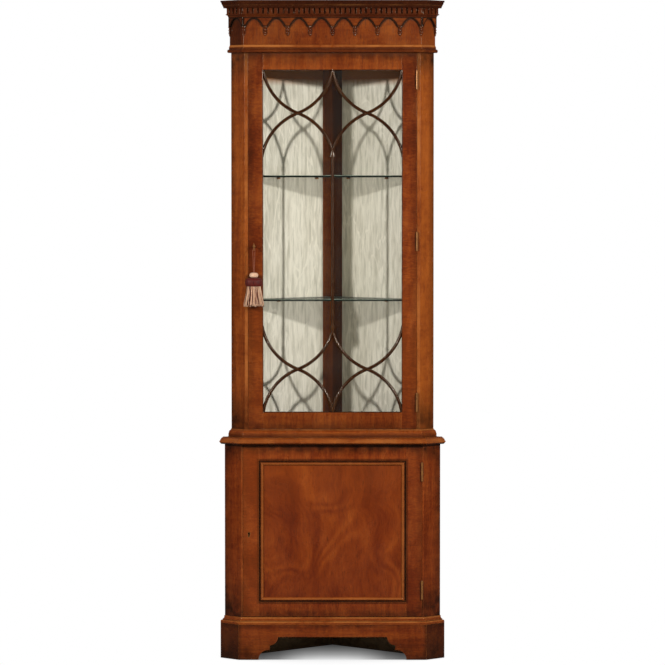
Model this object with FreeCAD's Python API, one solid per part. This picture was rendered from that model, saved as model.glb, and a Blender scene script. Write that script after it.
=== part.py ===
import FreeCAD, Part
import math
import os

# Corner cabinet in millimetres: X to the right, Y into the corner of the room, Z up

# Plan: half widths are taken at the walls, a cant is how far a corner is cut back
base_half_width = 317.0
base_cant = 49.5
upper_half_width = 297.5
upper_cant = 39.8
waist_projection = 22.0

# Heights, stacked from the floor
plinth_height = 104.0
base_board_thickness = 20.0
lower_door_height = 503.5
door_gap = 1.5
waist_board_thickness = 21.5
upper_board_thickness = 22.0
upper_door_height = 1101.0
frieze_height = 107.5
cornice_height = 22.0

# Carcase timber
post_thickness = 20.0
upper_return_width = 9.7
base_return_width = 4.5
panel_thickness = 9.0
lining_thickness = 3.0
corner_post_width = 58.0
stop_width = 8.0
stop_depth = 14.0
stop_clearance = 0.5
top_board_thickness = 18.0
dust_board_thickness = 6.0
frieze_thickness = 18.0
frieze_projection = 5.4
plinth_rail_thickness = 18.0

# Doors
door_thickness = 20.0
side_gap = 1.0
upper_stile_width = 44.0
upper_rail_width = 50.0
lower_stile_width = 46.0
lower_top_rail_width = 45.0
lower_bottom_rail_width = 42.0
ovolo_size = 3.5
rebate_width = 7.0
glass_depth = 9.0
glass_thickness = 3.0
glass_clearance = 1.0
bead_size = 7.0
bead_chamfer = 3.0
tenon_length = 25.0
tenon_thickness = 7.0
tenon_depth = 1.5
tenon_shoulder = 10.0
panel_depth = 6.0
panel_tongue = 8.0
door_panel_thickness = 9.0
tongue_clearance = 0.5

# Glazing bars, drawn on their centre lines
bar_width = 9.5
bar_depth = 7.0
bar_nose_width = 2.4
tracery_inner_rise = 125.0
tracery_outer_rise = 111.0
crossing_slope_deg = 21.0
bar_overrun_deg = 6.0

# Glass shelves and pegs
shelf_glass_thickness = 6.0
shelf_setback = 40.0
shelf_clearance = 1.0
lower_shelf_share = 0.34
upper_shelf_share = 0.67
base_shelf_share = 0.49
base_shelf_thickness = 15.0
peg_half_width = 2.5
peg_sides = 8
peg_pin_length = 6.0
peg_rest_length = 11.0
peg_wall_shares = (0.2, 0.58)

# Plinth bracket foot
plinth_projection = 17.7
arch_height = 67.0
arch_flat_half = 160.0
foot_cove_radius = 29.0
foot_lobe_radius = 24.0
foot_step_height = 43.0
foot_step_width = 4.0

# Arcade fret and its turned drops
fret_thickness = 5.8
arch_count = 8
arch_crown_margin = 3.5
pillar_half_width = 7.0
arch_crown_radius = 16.0
arch_crown_deg = 42.0
arch_rise = 25.0
arch_side_sagitta = 1.8
drop_length = 28.0
drop_radius = 7.0
drop_neck_radius = 3.2
drop_bead_radius = 5.5
drop_bead_height = 8.0
drop_top_length = 5.5
drop_finial_radius = 3.2
drop_tip_radius = 1.0
drop_step_deg = 30.0

# Dentils
dentil_pitch = 15.0
dentil_width = 10.0
dentil_back = 15.5
dentil_projection = 22.8
dentil_height = 17.0
dentil_fillet_height = 3.0
dentil_fillet_projection = 21.5
cove_foot_projection = 11.7
cove_height = 6.0

# Cornice
cornice_soffit_projection = 31.0
cornice_cove_projection = 34.0
cornice_fillet_projection = 35.0
cornice_top_projection = 43.0
cornice_fillet_height = 3.0
cornice_cove_height = 6.0
cornice_top_fillet_height = 4.0

# Waist mouldings
waist_top_projection = 8.0
waist_nose_height = 7.5
waist_nose_radius = 2.5
waist_under_projection = 12.0
waist_foot_projection = 12.9
waist_fillet_height = 9.0
waist_ovolo_height = 10.0
waist_quirk = 1.5
waist_ovolo_projection = 2.5

# Bead under the frieze
frieze_bead_projection = 11.0
frieze_bead_height = 10.0
frieze_cove_projection = 9.0
frieze_cove_height = 6.0
frieze_slope_height = 6.5

# Plinth moulding
plinth_moulding_step = 14.0
plinth_moulding_neck = 9.5
plinth_moulding_top = 3.0
plinth_moulding_height = 8.0
plinth_moulding_fillet = 3.0

# Panel moulding of the lower door
quirk_width = 5.0
quirk_depth = 4.0
panel_bead_width = 6.5
panel_bead_depth = 1.5
panel_bead_bulge = 1.8
panel_moulding_slope = 3.0
panel_moulding_edge = 1.0

# Butt hinges with proud knuckles
hinge_length = 55.0
knuckle_radius = 3.0
knuckle_count = 3
knuckle_sides = 12
pin_radius = 1.5
pin_clearance = 0.05
knuckle_clearance = 0.2
pin_proud = 3.4
leaf_thickness = 1.3
leaf_depth = 13.0
leaf_recess = 1.0
sweep_clearance = 0.3
hinge_end_distance = 78.0

# Locks
upper_lock_drop = 15.0
lower_lock_drop = 7.0
backset = 17.0
lock_width = 37.0
lock_above = 19.0
lock_below = 13.0
lock_depth = 12.0
lock_wall = 1.5
bolt_low = 4.2
bolt_height = 10.0
bolt_front = 3.5
bolt_thickness = 5.0
bolt_clearance = 0.15
bolt_tail = 18.2
bolt_tip_gap = 0.3
talon_start = 8.2
talon_end = 16.0
talon_depth = 5.0
strike_thickness = 1.2
strike_above = 12.0
strike_width = 15.0
mortise_depth = 9.4
mortise_clearance = 0.6
keyhole_radius = 3.2
keyhole_slot_width = 3.4
keyhole_slot_length = 10.5
escutcheon_wall = 0.9
escutcheon_depth = 3.0

# Key
key_radius = 2.5
key_clearance = 0.06
key_tip_gap = 0.4
bit_length = 8.5
bit_thickness = 2.0
bit_start = 3.2
bit_width = 5.8
bow_distance = 28.0
bow_radius = 8.5
bow_width = 3.2
bow_thickness = 3.0
bow_sides = 24
collar_radius = 3.6
collar_length = 3.0
collar_distance = 2.0

# Tassel
tassel_cord_diameter = 1.8
tassel_cord_drop = 67.5
loop_half_width = 3.3
strand_half_gap = 1.1
cord_sides = 8
tassel_sides = 24
tassel_bead_width = 26.0
tassel_bead_height = 15.0
tassel_bead_shares = ((0.4, 0.0), (0.84, 0.2), (1.0, 0.5), (0.84, 0.8), (0.4, 1.0))
tassel_head_width = 51.0
tassel_head_height = 25.0
tassel_depth_share = 0.73
tassel_head_shares = ((0.55, 0.0), (0.9, 0.25), (1.0, 0.5), (0.92, 0.75))
tassel_skirt_height = 60.0
tassel_skirt_top = 38.0
tassel_skirt_waist = 46.0
tassel_skirt_bottom = 62.0

# Bulges of arcs, as the tangent of a quarter of the angle turned
quarter_share = math.tan(math.radians(22.5))
half_share = 1.0
soft_share = math.tan(math.radians(13.0))

arc_trim_share = 0.45

overrun = 5.0
root2 = math.sqrt(2.0)
mitre = math.tan(math.radians(22.5))

# Heights that follow
base_floor_z = plinth_height + base_board_thickness
lower_door_z = base_floor_z + door_gap
waist_z = lower_door_z + lower_door_height + door_gap
upper_z = waist_z + waist_board_thickness
upper_floor_z = upper_z + upper_board_thickness
upper_door_z = upper_floor_z + door_gap
bead_z = upper_door_z + upper_door_height + door_gap
frieze_z = bead_z + frieze_bead_height + frieze_cove_height + frieze_slope_height
cornice_z = frieze_z + frieze_height
top_z = cornice_z + cornice_height
dentil_z = cornice_z - dentil_height
fret_top_z = dentil_z - dentil_fillet_height - cove_height
arch_foot_z = fret_top_z - arch_crown_margin - arch_rise
upper_opening_height = bead_z - upper_floor_z
base_opening_height = waist_z - base_floor_z
lower_shelf_z = upper_floor_z + lower_shelf_share * upper_opening_height
upper_shelf_z = upper_floor_z + upper_shelf_share * upper_opening_height
base_shelf_z = base_floor_z + base_shelf_share * base_opening_height
upper_door_middle = upper_door_z + upper_door_height / 2
lower_door_middle = lower_door_z + lower_door_height / 2
upper_lock_height = upper_door_middle - upper_lock_drop
lower_lock_height = lower_door_middle - lower_lock_drop
upper_hinge_heights = (upper_door_z + upper_door_height - hinge_end_distance, upper_door_middle,
                       upper_door_z + hinge_end_distance)
lower_hinge_heights = (lower_door_z + lower_door_height - hinge_end_distance,
                       lower_door_z + hinge_end_distance)

# Fronts that follow: the corner of the room lies as far behind the origin as the waist board before it
corner_y = (base_half_width + base_cant + waist_projection) / 2
base_front = corner_y - base_half_width - base_cant
upper_front = corner_y - upper_half_width - upper_cant
base_flat_half = base_half_width - base_cant
upper_flat_half = upper_half_width - upper_cant
upper_door_half = upper_flat_half - upper_return_width - side_gap
lower_door_half = base_flat_half - base_return_width - side_gap
lining_offset = panel_thickness + lining_thickness

X = FreeCAD.Vector(1, 0, 0)
Y = FreeCAD.Vector(0, 1, 0)
Z = FreeCAD.Vector(0, 0, 1)
origin = FreeCAD.Vector(0, 0, 0)


def box(x0, x1, y0, y1, z0, z1):
    return Part.makeBox(x1 - x0, y1 - y0, z1 - z0, FreeCAD.Vector(x0, y0, z0))


def prism(points, z0, height):
    corners = [FreeCAD.Vector(x, y, z0) for x, y in points]
    return Part.Face(Part.makePolygon(corners + corners[:1])).extrude(Z * height)


def mirrored(shape):
    return shape.mirror(origin, X)


def rod(centre, axis, radius, length):
    return Part.makeCylinder(radius, length, centre, axis)


# Points round a centre at one height, on a circle or an oval
def ring_points(x, y, z, radius, depth_share, angles_deg):
    return [FreeCAD.Vector(x + radius * math.cos(math.radians(angle)),
                           y + depth_share * radius * math.sin(math.radians(angle)), z)
            for angle in angles_deg]


# A flat-sided solid through rings of points, each ring at its own height
def stacked(rings):
    faces = [Part.Face(Part.makePolygon(end + end[:1])) for end in (rings[0], rings[-1])]
    for low, high in zip(rings, rings[1:]):
        for i in range(len(low)):
            side = [low[i - 1], low[i], high[i], high[i - 1]]
            faces.append(Part.Face(Part.makePolygon(side + side[:1])))
    shell = Part.Shell(faces)
    shell.sewShape()
    return Part.Solid(shell)


# A closed outline: each point is (u, v) or (u, v, bulge of the side that leads to it)
def outline(points, place):
    edges = []
    for i, point in enumerate(points):
        u0, v0 = points[i - 1][:2]
        u1, v1 = point[:2]
        start = place(u0, v0)
        end = place(u1, v1)
        if len(point) == 3:
            middle = place((u0 + u1) / 2 + point[2] * (v1 - v0) / 2,
                           (v0 + v1) / 2 - point[2] * (u1 - u0) / 2)
            edges.append(Part.Arc(start, middle, end).toShape())
        else:
            edges.append(Part.makeLine(start, end))
    return Part.Wire(edges)


# Where a wall plane set in by inset meets the canted face set out by offset, on the right
def wall_point(half_width, offset, inset):
    x = half_width + (offset - inset) / root2
    y = corner_y - half_width - (offset + inset) / root2
    return x, y


# The five-sided plan, its front and cants set out by offset and its walls set in by inset
def plan(half_width, cant, offset, inset):
    front = corner_y - half_width - cant - offset
    arris = half_width - cant + offset * mitre
    x, y = wall_point(half_width, offset, inset)
    return [(-arris, front), (arris, front), (x, y), (0, corner_y - inset * root2), (-x, y)]


def board(half_width, cant, offset, inset, z0, height):
    return prism(plan(half_width, cant, offset, inset), z0, height)


# The space of the front length of a mitred run, from inner to outer projection
def front_wedge(half_width, cant, inner, outer, z0, z1):
    flat = half_width - cant
    front = corner_y - half_width - cant
    points = [(-flat - inner * mitre, front - inner), (flat + inner * mitre, front - inner),
              (flat + outer * mitre, front - outer), (-flat - outer * mitre, front - outer)]
    return prism(points, z0, z1 - z0)


# The same for the right-hand return, lying in line with the front until it is turned
def return_wedge(half_width, cant, inner, outer, z0, z1):
    flat = half_width - cant
    front = corner_y - half_width - cant
    end = flat + cant * root2
    points = [(flat - inner * mitre, front - inner), (flat - outer * mitre, front - outer),
              (end, front - outer), (end, front - inner)]
    return prism(points, z0, z1 - z0)


def turn_return(shape, half_width, cant):
    pivot = FreeCAD.Vector(half_width - cant, corner_y - half_width - cant, 0)
    turned = shape.copy()
    turned.rotate(pivot, Z, 45)
    return turned


# A moulding in three mitred lengths: front, right return and left return
def mitred_run(profile, half_width, cant):
    flat = half_width - cant
    front = corner_y - half_width - cant
    inner = min(point[0] for point in profile) - overrun
    outer = max(point[0] for point in profile) + overrun
    low = min(point[1] for point in profile) - overrun
    high = max(point[1] for point in profile) + overrun
    reach = 2 * (flat + cant)
    wire = outline(profile, lambda p, z: FreeCAD.Vector(-reach, front - p, z))
    bar = Part.Face(wire).extrude(X * 2 * reach)
    lengths = [bar.common(front_wedge(half_width, cant, inner, outer, low, high))]
    side = bar.common(return_wedge(half_width, cant, inner, outer, low, high))
    right = turn_return(side, half_width, cant)
    lengths.append(right)
    lengths.append(mirrored(right))
    return lengths


def export(name, shape):
    if isinstance(shape, list):
        shape = Part.makeCompound(shape)
    shape.exportStep("parts/" + name + ".step")
    print(name, len(shape.Solids), round(shape.Volume), shape.isValid())


# A door post: canted outer face, narrow return at the front, and the side that the door's edge meets
def post(half_width, cant, return_width, z0, z1):
    flat = half_width - cant
    front = corner_y - half_width - cant
    back_y = front + door_thickness + stop_clearance + stop_depth
    inner_x = flat - post_thickness * root2 + back_y - front
    points = [wall_point(half_width, 0, 0), (flat, front), (flat - return_width, front),
              (flat - return_width, back_y), (inner_x, back_y),
              wall_point(half_width, -post_thickness, 0)]
    return prism(points, z0, z1 - z0)


# The strips behind a door that it shuts against, glued to the posts
def door_stops(half_width, cant, return_width, z0, z1):
    side = half_width - cant - return_width
    stop_y = corner_y - half_width - cant + door_thickness + stop_clearance
    right = box(side - stop_width, side, stop_y, stop_y + stop_depth, z0, z1)
    return [mirrored(right), right]


# Butt hinges: the barrel stands proud of the front, in the gap beside the door
def hinge_axis(door_half, front):
    return door_half + side_gap / 2, front - pin_proud


def knuckles(x, y, z, parts):
    step = hinge_length / knuckle_count
    turns = [(i + 1 / 2) * 360 / knuckle_sides for i in range(knuckle_sides)]
    corners = [(point.x, point.y) for point in ring_points(x, y, 0, knuckle_radius, 1, turns)]
    shapes = []
    for i in parts:
        low = z - hinge_length / 2 + i * step + knuckle_clearance / 2
        shapes.append(prism(corners, low, step - knuckle_clearance))
    return shapes


def hinge_leaf(door_half, front, z, parts, side):
    x, y = hinge_axis(door_half, front)
    step = hinge_length / knuckle_count
    face = side * (side_gap / 2 + leaf_recess)
    near = x + face - side * leaf_thickness
    far = x + face
    leaf = box(min(near, far), max(near, far), y, front + leaf_depth,
               z - hinge_length / 2, z + hinge_length / 2)
    others = [i for i in range(knuckle_count) if i not in parts]
    for i in others:
        low = z - hinge_length / 2 + i * step - knuckle_clearance / 2
        reach = knuckle_radius + sweep_clearance
        leaf = leaf.cut(box(x - reach, x + reach, y - reach, y + reach, low, low + step + knuckle_clearance))
    return leaf.fuse(knuckles(x, y, z, parts))


def case_leaf(door_half, front, z):
    x, y = hinge_axis(door_half, front)
    leaf = hinge_leaf(door_half, front, z, range(0, knuckle_count, 2), 1)
    pin_length = hinge_length - knuckle_clearance
    pin = rod(FreeCAD.Vector(x, y, z - pin_length / 2), Z, pin_radius, pin_length)
    return leaf.fuse(pin).removeSplitter()


def door_leaf(door_half, front, z):
    x, y = hinge_axis(door_half, front)
    leaf = hinge_leaf(door_half, front, z, range(1, knuckle_count, 2), -1)
    bore = rod(FreeCAD.Vector(x, y, z - hinge_length), Z, pin_radius + pin_clearance, 2 * hinge_length)
    return leaf.cut(bore).removeSplitter()


# The shallow bed of a leaf, in the edge of the door or in the return of the post
def leaf_bed(face_x, front, z, side):
    inner = face_x + side * leaf_recess
    return box(min(face_x - side * overrun, inner), max(face_x - side * overrun, inner),
               front - overrun, front + leaf_depth, z - hinge_length / 2, z + hinge_length / 2)


# A cut lock let into the back of the door's stile, with its bolt above the key
def lock_case(door_left, front, z):
    back = front + door_thickness
    key_x = door_left + backset
    low = z - lock_below
    high = z + lock_above
    case = box(door_left, door_left + lock_width, back - lock_depth, back, low, high)
    hollow = box(door_left + lock_wall, door_left + lock_width - lock_wall,
                 back - lock_depth + lock_wall, back - lock_wall, low + lock_wall, high - lock_wall)
    slot = box(door_left - overrun, door_left + 2 * lock_wall,
               bolt_y(front) - bolt_clearance, bolt_y(front) + bolt_thickness + bolt_clearance,
               z + bolt_low - bolt_clearance, z + bolt_low + bolt_height + bolt_clearance)
    eye = rod(FreeCAD.Vector(key_x, back - lock_depth - overrun, z), Y,
              key_radius + key_clearance, overrun + 2 * lock_wall)
    way = box(key_x - keyhole_slot_width / 2, key_x + keyhole_slot_width / 2,
              back - lock_depth - overrun, back - lock_depth + 2 * lock_wall,
              z - keyhole_slot_length, z)
    return case.cut([hollow, slot, eye, way])


def bolt_y(front):
    return front + door_thickness - lock_depth + bolt_front


def lock_bolt(door_left, front, z):
    key_x = door_left + backset
    bar = box(door_left + bolt_tip_gap, key_x + bolt_tail, bolt_y(front),
              bolt_y(front) + bolt_thickness, z + bolt_low, z + bolt_low + bolt_height)
    talon = box(key_x + talon_start, key_x + talon_end, front, front + door_thickness,
                z, z + bolt_low + talon_depth)
    return bar.cut(talon)


def lock_bed(door_left, front, z):
    back = front + door_thickness
    return box(door_left - overrun, door_left + lock_width, back - lock_depth, back + overrun,
               z - lock_below, z + lock_above)


def keyhole(door_left, front, z, margin, depth):
    x = door_left + backset
    eye = rod(FreeCAD.Vector(x, front, z), Y, keyhole_radius + margin, depth)
    slot = box(x - keyhole_slot_width / 2 - margin, x + keyhole_slot_width / 2 + margin,
               front, front + depth, z - keyhole_slot_length - margin, z)
    return eye.fuse(slot).removeSplitter()


def escutcheon(door_left, front, z):
    ring = keyhole(door_left, front, z, escutcheon_wall, escutcheon_depth)
    return ring.cut(keyhole(door_left, front - overrun, z, 0, 3 * overrun))


def strike_plate(door_left, front, z):
    face = door_left - side_gap
    plate = box(face - strike_thickness, face, front + door_thickness - strike_width - door_gap,
                front + door_thickness - door_gap, z + bolt_low - strike_above,
                z + bolt_low + bolt_height + strike_above)
    return plate, plate.cut(strike_mortise(door_left, front, z))


def strike_mortise(door_left, front, z):
    face = door_left - side_gap
    return box(face - mortise_depth, face + overrun, bolt_y(front) - mortise_clearance,
               bolt_y(front) + bolt_thickness + mortise_clearance,
               z + bolt_low - mortise_clearance, z + bolt_low + bolt_height + mortise_clearance)


# One lock's strike in a left-hand post
def bed_strike(shape, door_left, front, z):
    plate, strike = strike_plate(door_left, front, z)
    return shape.cut([plate, strike_mortise(door_left, front, z)]), strike


# Frame members with stub tenons, and the openings cut through all four alike
def door_frame(half, z0, height, stile, top_rail, bottom_rail, front):
    top = z0 + height
    back = front + door_thickness
    inner = half - stile
    low = z0 + bottom_rail
    high = top - top_rail
    left = box(-half, -inner, front, back, z0, top)
    right = mirrored(left)
    rails = []
    for rail_low, rail_high in ((high, top), (z0, low)):
        rail = box(-inner, inner, front, back, rail_low, rail_high)
        tenon = box(-inner - tenon_length, inner + tenon_length, front + panel_depth + tenon_depth,
                    front + panel_depth + tenon_depth + tenon_thickness,
                    rail_low + tenon_shoulder, rail_high - tenon_shoulder)
        left = left.cut(tenon)
        right = right.cut(tenon)
        rails.append(rail.fuse(tenon).removeSplitter())
    return [left, right, rails[0], rails[1]], inner, low, high


# A ring of one section round an opening; points are (outward from the opening's edge, depth from the front)
def ring(profile, half, low, high, front):
    spine = Part.makePolygon([FreeCAD.Vector(0, front, low), FreeCAD.Vector(half, front, low),
                              FreeCAD.Vector(half, front, high), FreeCAD.Vector(-half, front, high),
                              FreeCAD.Vector(-half, front, low), FreeCAD.Vector(0, front, low)])
    section = outline(profile, lambda q, d: FreeCAD.Vector(0, front + d, low - q))
    return spine.makePipeShell([section], True, False, 1)


# The same ring cut into four strips that meet in mitres
def strips(profile, half, low, high, front):
    whole = ring(profile, half, low, high, front)
    outer = max(point[0] for point in profile) + overrun
    inner = min(point[0] for point in profile) - overrun
    near = [(-half - outer, low - outer), (half + outer, low - outer),
            (half + outer, high + outer), (-half - outer, high + outer)]
    far = [(-half - inner, low - inner), (half + inner, low - inner),
           (half + inner, high + inner), (-half - inner, high + inner)]
    lengths = []
    for i in range(4):
        corners = [near[i - 1], near[i], far[i], far[i - 1]]
        points = [FreeCAD.Vector(x, front - overrun, z) for x, z in corners]
        space = Part.Face(Part.makePolygon(points + points[:1])).extrude(Y * (door_thickness + 2 * overrun))
        lengths.append(whole.common(space))
    return lengths


def ovolo_cutter(half, low, high, front):
    profile = [(-overrun, -overrun), (ovolo_size, -overrun), (ovolo_size, 0),
               (0, ovolo_size, -quarter_share), (-overrun, ovolo_size)]
    return ring(profile, half, low, high, front)


def upper_door():
    z0 = upper_door_z
    front = upper_front
    members, inner, low, high = door_frame(upper_door_half, z0, upper_door_height, upper_stile_width,
                                           upper_rail_width, upper_rail_width, front)
    rebate = box(-inner - rebate_width, inner + rebate_width, front + glass_depth,
                 front + door_thickness + overrun, low - rebate_width, high + rebate_width)
    ovolo = ovolo_cutter(inner, low, high, front)
    left, right, top_rail, bottom_rail = [member.cut([rebate, ovolo]) for member in members]
    left = left.cut([lock_bed(-upper_door_half, front, upper_lock_height),
                     keyhole(-upper_door_half, front, upper_lock_height, 0, door_thickness),
                     keyhole(-upper_door_half, front, upper_lock_height, escutcheon_wall,
                             escutcheon_depth)])
    for z in upper_hinge_heights:
        right = right.cut(leaf_bed(upper_door_half, front, z, -1))
    export("upper_door_stile_left", left)
    export("upper_door_stile_right", right)
    export("upper_door_rail_top", top_rail)
    export("upper_door_rail_bottom", bottom_rail)
    reach = rebate_width - glass_clearance
    export("upper_door_glass", box(-inner - reach, inner + reach, front + glass_depth,
                                   front + glass_depth + glass_thickness, low - reach, high + reach))
    beads = [(0, glass_depth + glass_thickness), (bead_size, glass_depth + glass_thickness),
             (bead_size, glass_depth + glass_thickness + bead_size),
             (bead_chamfer, glass_depth + glass_thickness + bead_size),
             (0, glass_depth + glass_thickness + bead_size - bead_chamfer)]
    export("upper_door_glazing_beads", strips(beads, inner, low, high, front))
    export("upper_door_astragals", tracery(inner, low, high, front))
    export("upper_hinge_door_leaves", [door_leaf(upper_door_half, front, z) for z in upper_hinge_heights])
    export("upper_lock_case", lock_case(-upper_door_half, front, upper_lock_height))
    export("upper_lock_bolt", lock_bolt(-upper_door_half, front, upper_lock_height))
    export("upper_escutcheon", escutcheon(-upper_door_half, front, upper_lock_height))


# Section of a glazing bar, as (across, forward from the glass)
def bar_section():
    wide = bar_width / 2
    nose = bar_nose_width / 2
    return [(-wide, 0), (wide, 0), (nose, bar_depth), (-nose, bar_depth)]


# One curved bar from a crossing to its far end; it leaves the crossing at the given slope
def curved_bar(cross_x, cross_z, end_x, end_z, glass_y):
    run = end_x - cross_x
    rise = end_z - cross_z
    chord = math.hypot(run, rise)
    half_turn = math.atan2(abs(rise), abs(run)) - math.radians(crossing_slope_deg)
    radius = chord / (2 * math.sin(half_turn))
    side = math.copysign(1, rise)
    lean = math.copysign(1, run)
    slope = math.radians(crossing_slope_deg)
    centre_x = cross_x - lean * math.sin(slope) * radius
    centre_z = cross_z + side * math.cos(slope) * radius
    points = []
    for across, forward in bar_section():
        x = centre_x + lean * math.sin(slope) * (radius + across)
        z = centre_z - side * math.cos(slope) * (radius + across)
        points.append(FreeCAD.Vector(x, glass_y - forward, z))
    face = Part.Face(Part.makePolygon(points + points[:1]))
    turn = math.degrees(2 * half_turn) + bar_overrun_deg
    return face.revolve(FreeCAD.Vector(centre_x, glass_y, centre_z), Y, -lean * side * turn)


def straight_bar(x, z0, z1, glass_y):
    points = [FreeCAD.Vector(x + across, glass_y - forward, z0) for across, forward in bar_section()]
    return Part.Face(Part.makePolygon(points + points[:1])).extrude(Z * (z1 - z0))


# Gothic glazing bars: in each half an inverted arch meets an upright one, above and below
def tracery(inner, low, high, front):
    glass_y = front + glass_depth
    bars = []
    for rail, up in ((high, 1), (low, -1)):
        cross_z = rail - up * tracery_inner_rise
        foot_z = cross_z - up * tracery_outer_rise
        for bay in (-inner / 2, inner / 2):
            for end_x in (bay - inner / 2, bay + inner / 2):
                bars.append(curved_bar(bay, cross_z, end_x, rail, glass_y))
                bars.append(curved_bar(bay, cross_z, end_x, foot_z, glass_y))
    reach = tracery_inner_rise + tracery_outer_rise - bar_width
    bars.append(straight_bar(0, low + reach, high - reach, glass_y))
    window = box(-inner, inner, front, glass_y, low, high)
    trimmed = [bar.common(window) for bar in bars]
    return trimmed[0].fuse(trimmed[1:])


def lower_door():
    z0 = lower_door_z
    front = base_front
    members, inner, low, high = door_frame(lower_door_half, z0, lower_door_height, lower_stile_width,
                                           lower_top_rail_width, lower_bottom_rail_width, front)
    groove = box(-inner - panel_tongue, inner + panel_tongue, front + panel_depth,
                 front + panel_depth + door_panel_thickness, low - panel_tongue, high + panel_tongue)
    left, right, top_rail, bottom_rail = [member.cut(groove) for member in members]
    left = left.cut([lock_bed(-lower_door_half, front, lower_lock_height),
                     keyhole(-lower_door_half, front, lower_lock_height, 0, door_thickness),
                     keyhole(-lower_door_half, front, lower_lock_height, escutcheon_wall,
                             escutcheon_depth)])
    for z in lower_hinge_heights:
        right = right.cut(leaf_bed(lower_door_half, front, z, -1))
    export("lower_door_stile_left", left)
    export("lower_door_stile_right", right)
    export("lower_door_rail_top", top_rail)
    export("lower_door_rail_bottom", bottom_rail)
    reach = panel_tongue - tongue_clearance
    export("lower_door_panel", box(-inner - reach, inner + reach, front + panel_depth,
                                   front + panel_depth + door_panel_thickness, low - reach, high + reach))
    bead_end = -quirk_width - panel_bead_width
    flat_bulge = -2 * panel_bead_bulge / panel_bead_width
    profile = [(0, panel_depth), (0, quirk_depth), (-quirk_width, quirk_depth),
               (-quirk_width, panel_bead_depth), (bead_end, panel_bead_depth, flat_bulge),
               (bead_end - panel_moulding_slope, panel_depth - panel_moulding_edge),
               (bead_end - panel_moulding_slope, panel_depth)]
    export("lower_panel_moulding", strips(profile, inner, low, high, front))
    export("lower_hinge_door_leaves", [door_leaf(lower_door_half, front, z) for z in lower_hinge_heights])
    export("lower_lock_case", lock_case(-lower_door_half, front, lower_lock_height))
    export("lower_lock_bolt", lock_bolt(-lower_door_half, front, lower_lock_height))
    export("lower_escutcheon", escutcheon(-lower_door_half, front, lower_lock_height))


def base_carcase():
    right = post(base_half_width, base_cant, base_return_width, plinth_height, waist_z)
    left = mirrored(right)
    floor = board(base_half_width, base_cant, 0, panel_thickness, plinth_height, base_board_thickness)
    export("base_bottom_board", floor.cut([left, right]))
    for z in lower_hinge_heights:
        right = right.cut(leaf_bed(lower_door_half + side_gap, base_front, z, 1))
    left, strike = bed_strike(left, -lower_door_half, base_front, lower_lock_height)
    export("base_post_right", right)
    export("base_post_left", left)
    export("base_door_stops", door_stops(base_half_width, base_cant, base_return_width,
                                         plinth_height + base_board_thickness, waist_z))
    export_walls("base", base_half_width, plinth_height, waist_z, base_pegs())
    export("waist_board", waist_board())
    export("base_shelf", shelf(base_half_width, base_cant, panel_thickness, base_shelf_z,
                               base_shelf_thickness, 0))
    return strike


# Wall panels meet in a mitre at the back corner
def wall_panel(half_width, offset, inner_inset, outer_inset, z0, z1):
    points = [wall_point(half_width, offset, outer_inset), (0, corner_y - outer_inset * root2),
              (0, corner_y - inner_inset * root2), wall_point(half_width, offset, inner_inset)]
    return prism(points, z0, z1 - z0)


def export_walls(name, half_width, z0, z1, pegs):
    right = wall_panel(half_width, -post_thickness, panel_thickness, 0, z0, z1).cut(pegs)
    export(name + "_wall_panel_right", right)
    export(name + "_wall_panel_left", mirrored(right))


def waist_board():
    top = upper_z
    nose = waist_z + waist_nose_height
    lip = waist_projection - waist_nose_radius
    profile = [(0, waist_z), (waist_under_projection, waist_z),
               (lip, nose - waist_nose_radius, soft_share), (lip, nose + waist_nose_radius, half_share),
               (waist_top_projection, top - waist_quirk, soft_share), (waist_top_projection, top), (0, top)]
    lengths = mitred_run(profile, base_half_width, base_cant)
    core = board(base_half_width, base_cant, 0, 0, waist_z, waist_board_thickness)
    return core.fuse(lengths).removeSplitter()


# An eight-sided peg in the right-hand wall, let into the wall panel, with a flat on top for the shelf
def peg(half_width, share, inset, shelf_z):
    along = share * half_width
    inward = FreeCAD.Vector(-1, -1, 0).normalize()
    across = inward.cross(Z)
    wall = FreeCAD.Vector(along, corner_y - along, shelf_z - peg_half_width)
    start = wall + inward * (panel_thickness - peg_pin_length)
    corner = peg_half_width / math.cos(math.pi / peg_sides)
    corners = []
    for i in range(peg_sides):
        angle = (i + 1 / 2) * 2 * math.pi / peg_sides
        corners.append(start + across * (corner * math.cos(angle)) + Z * (corner * math.sin(angle)))
    section = Part.Face(Part.makePolygon(corners + corners[:1]))
    return section.extrude(inward * (peg_pin_length + inset - panel_thickness + peg_rest_length))


def base_pegs():
    return [peg(base_half_width, share, panel_thickness, base_shelf_z) for share in peg_wall_shares]


def upper_pegs():
    return [peg(upper_half_width, share, lining_offset, shelf_z)
            for shelf_z in (lower_shelf_z, upper_shelf_z) for share in peg_wall_shares]


# A shelf in the corner: clear of the walls, and of the posts and their stops
def shelf(half_width, cant, inset, z0, thickness, corner_cut):
    front = corner_y - half_width - cant + shelf_setback
    x, y = wall_point(half_width, -post_thickness - shelf_clearance, inset + shelf_clearance)
    side_x = x - (y - front)
    back = corner_y - (inset + shelf_clearance) * root2
    cut_y = back - corner_cut
    points = [(-side_x, front), (side_x, front), (x, y), (corner_cut, cut_y)]
    if corner_cut:
        points.append((-corner_cut, cut_y))
    points.append((-x, y))
    return prism(points, z0, thickness)


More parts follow.
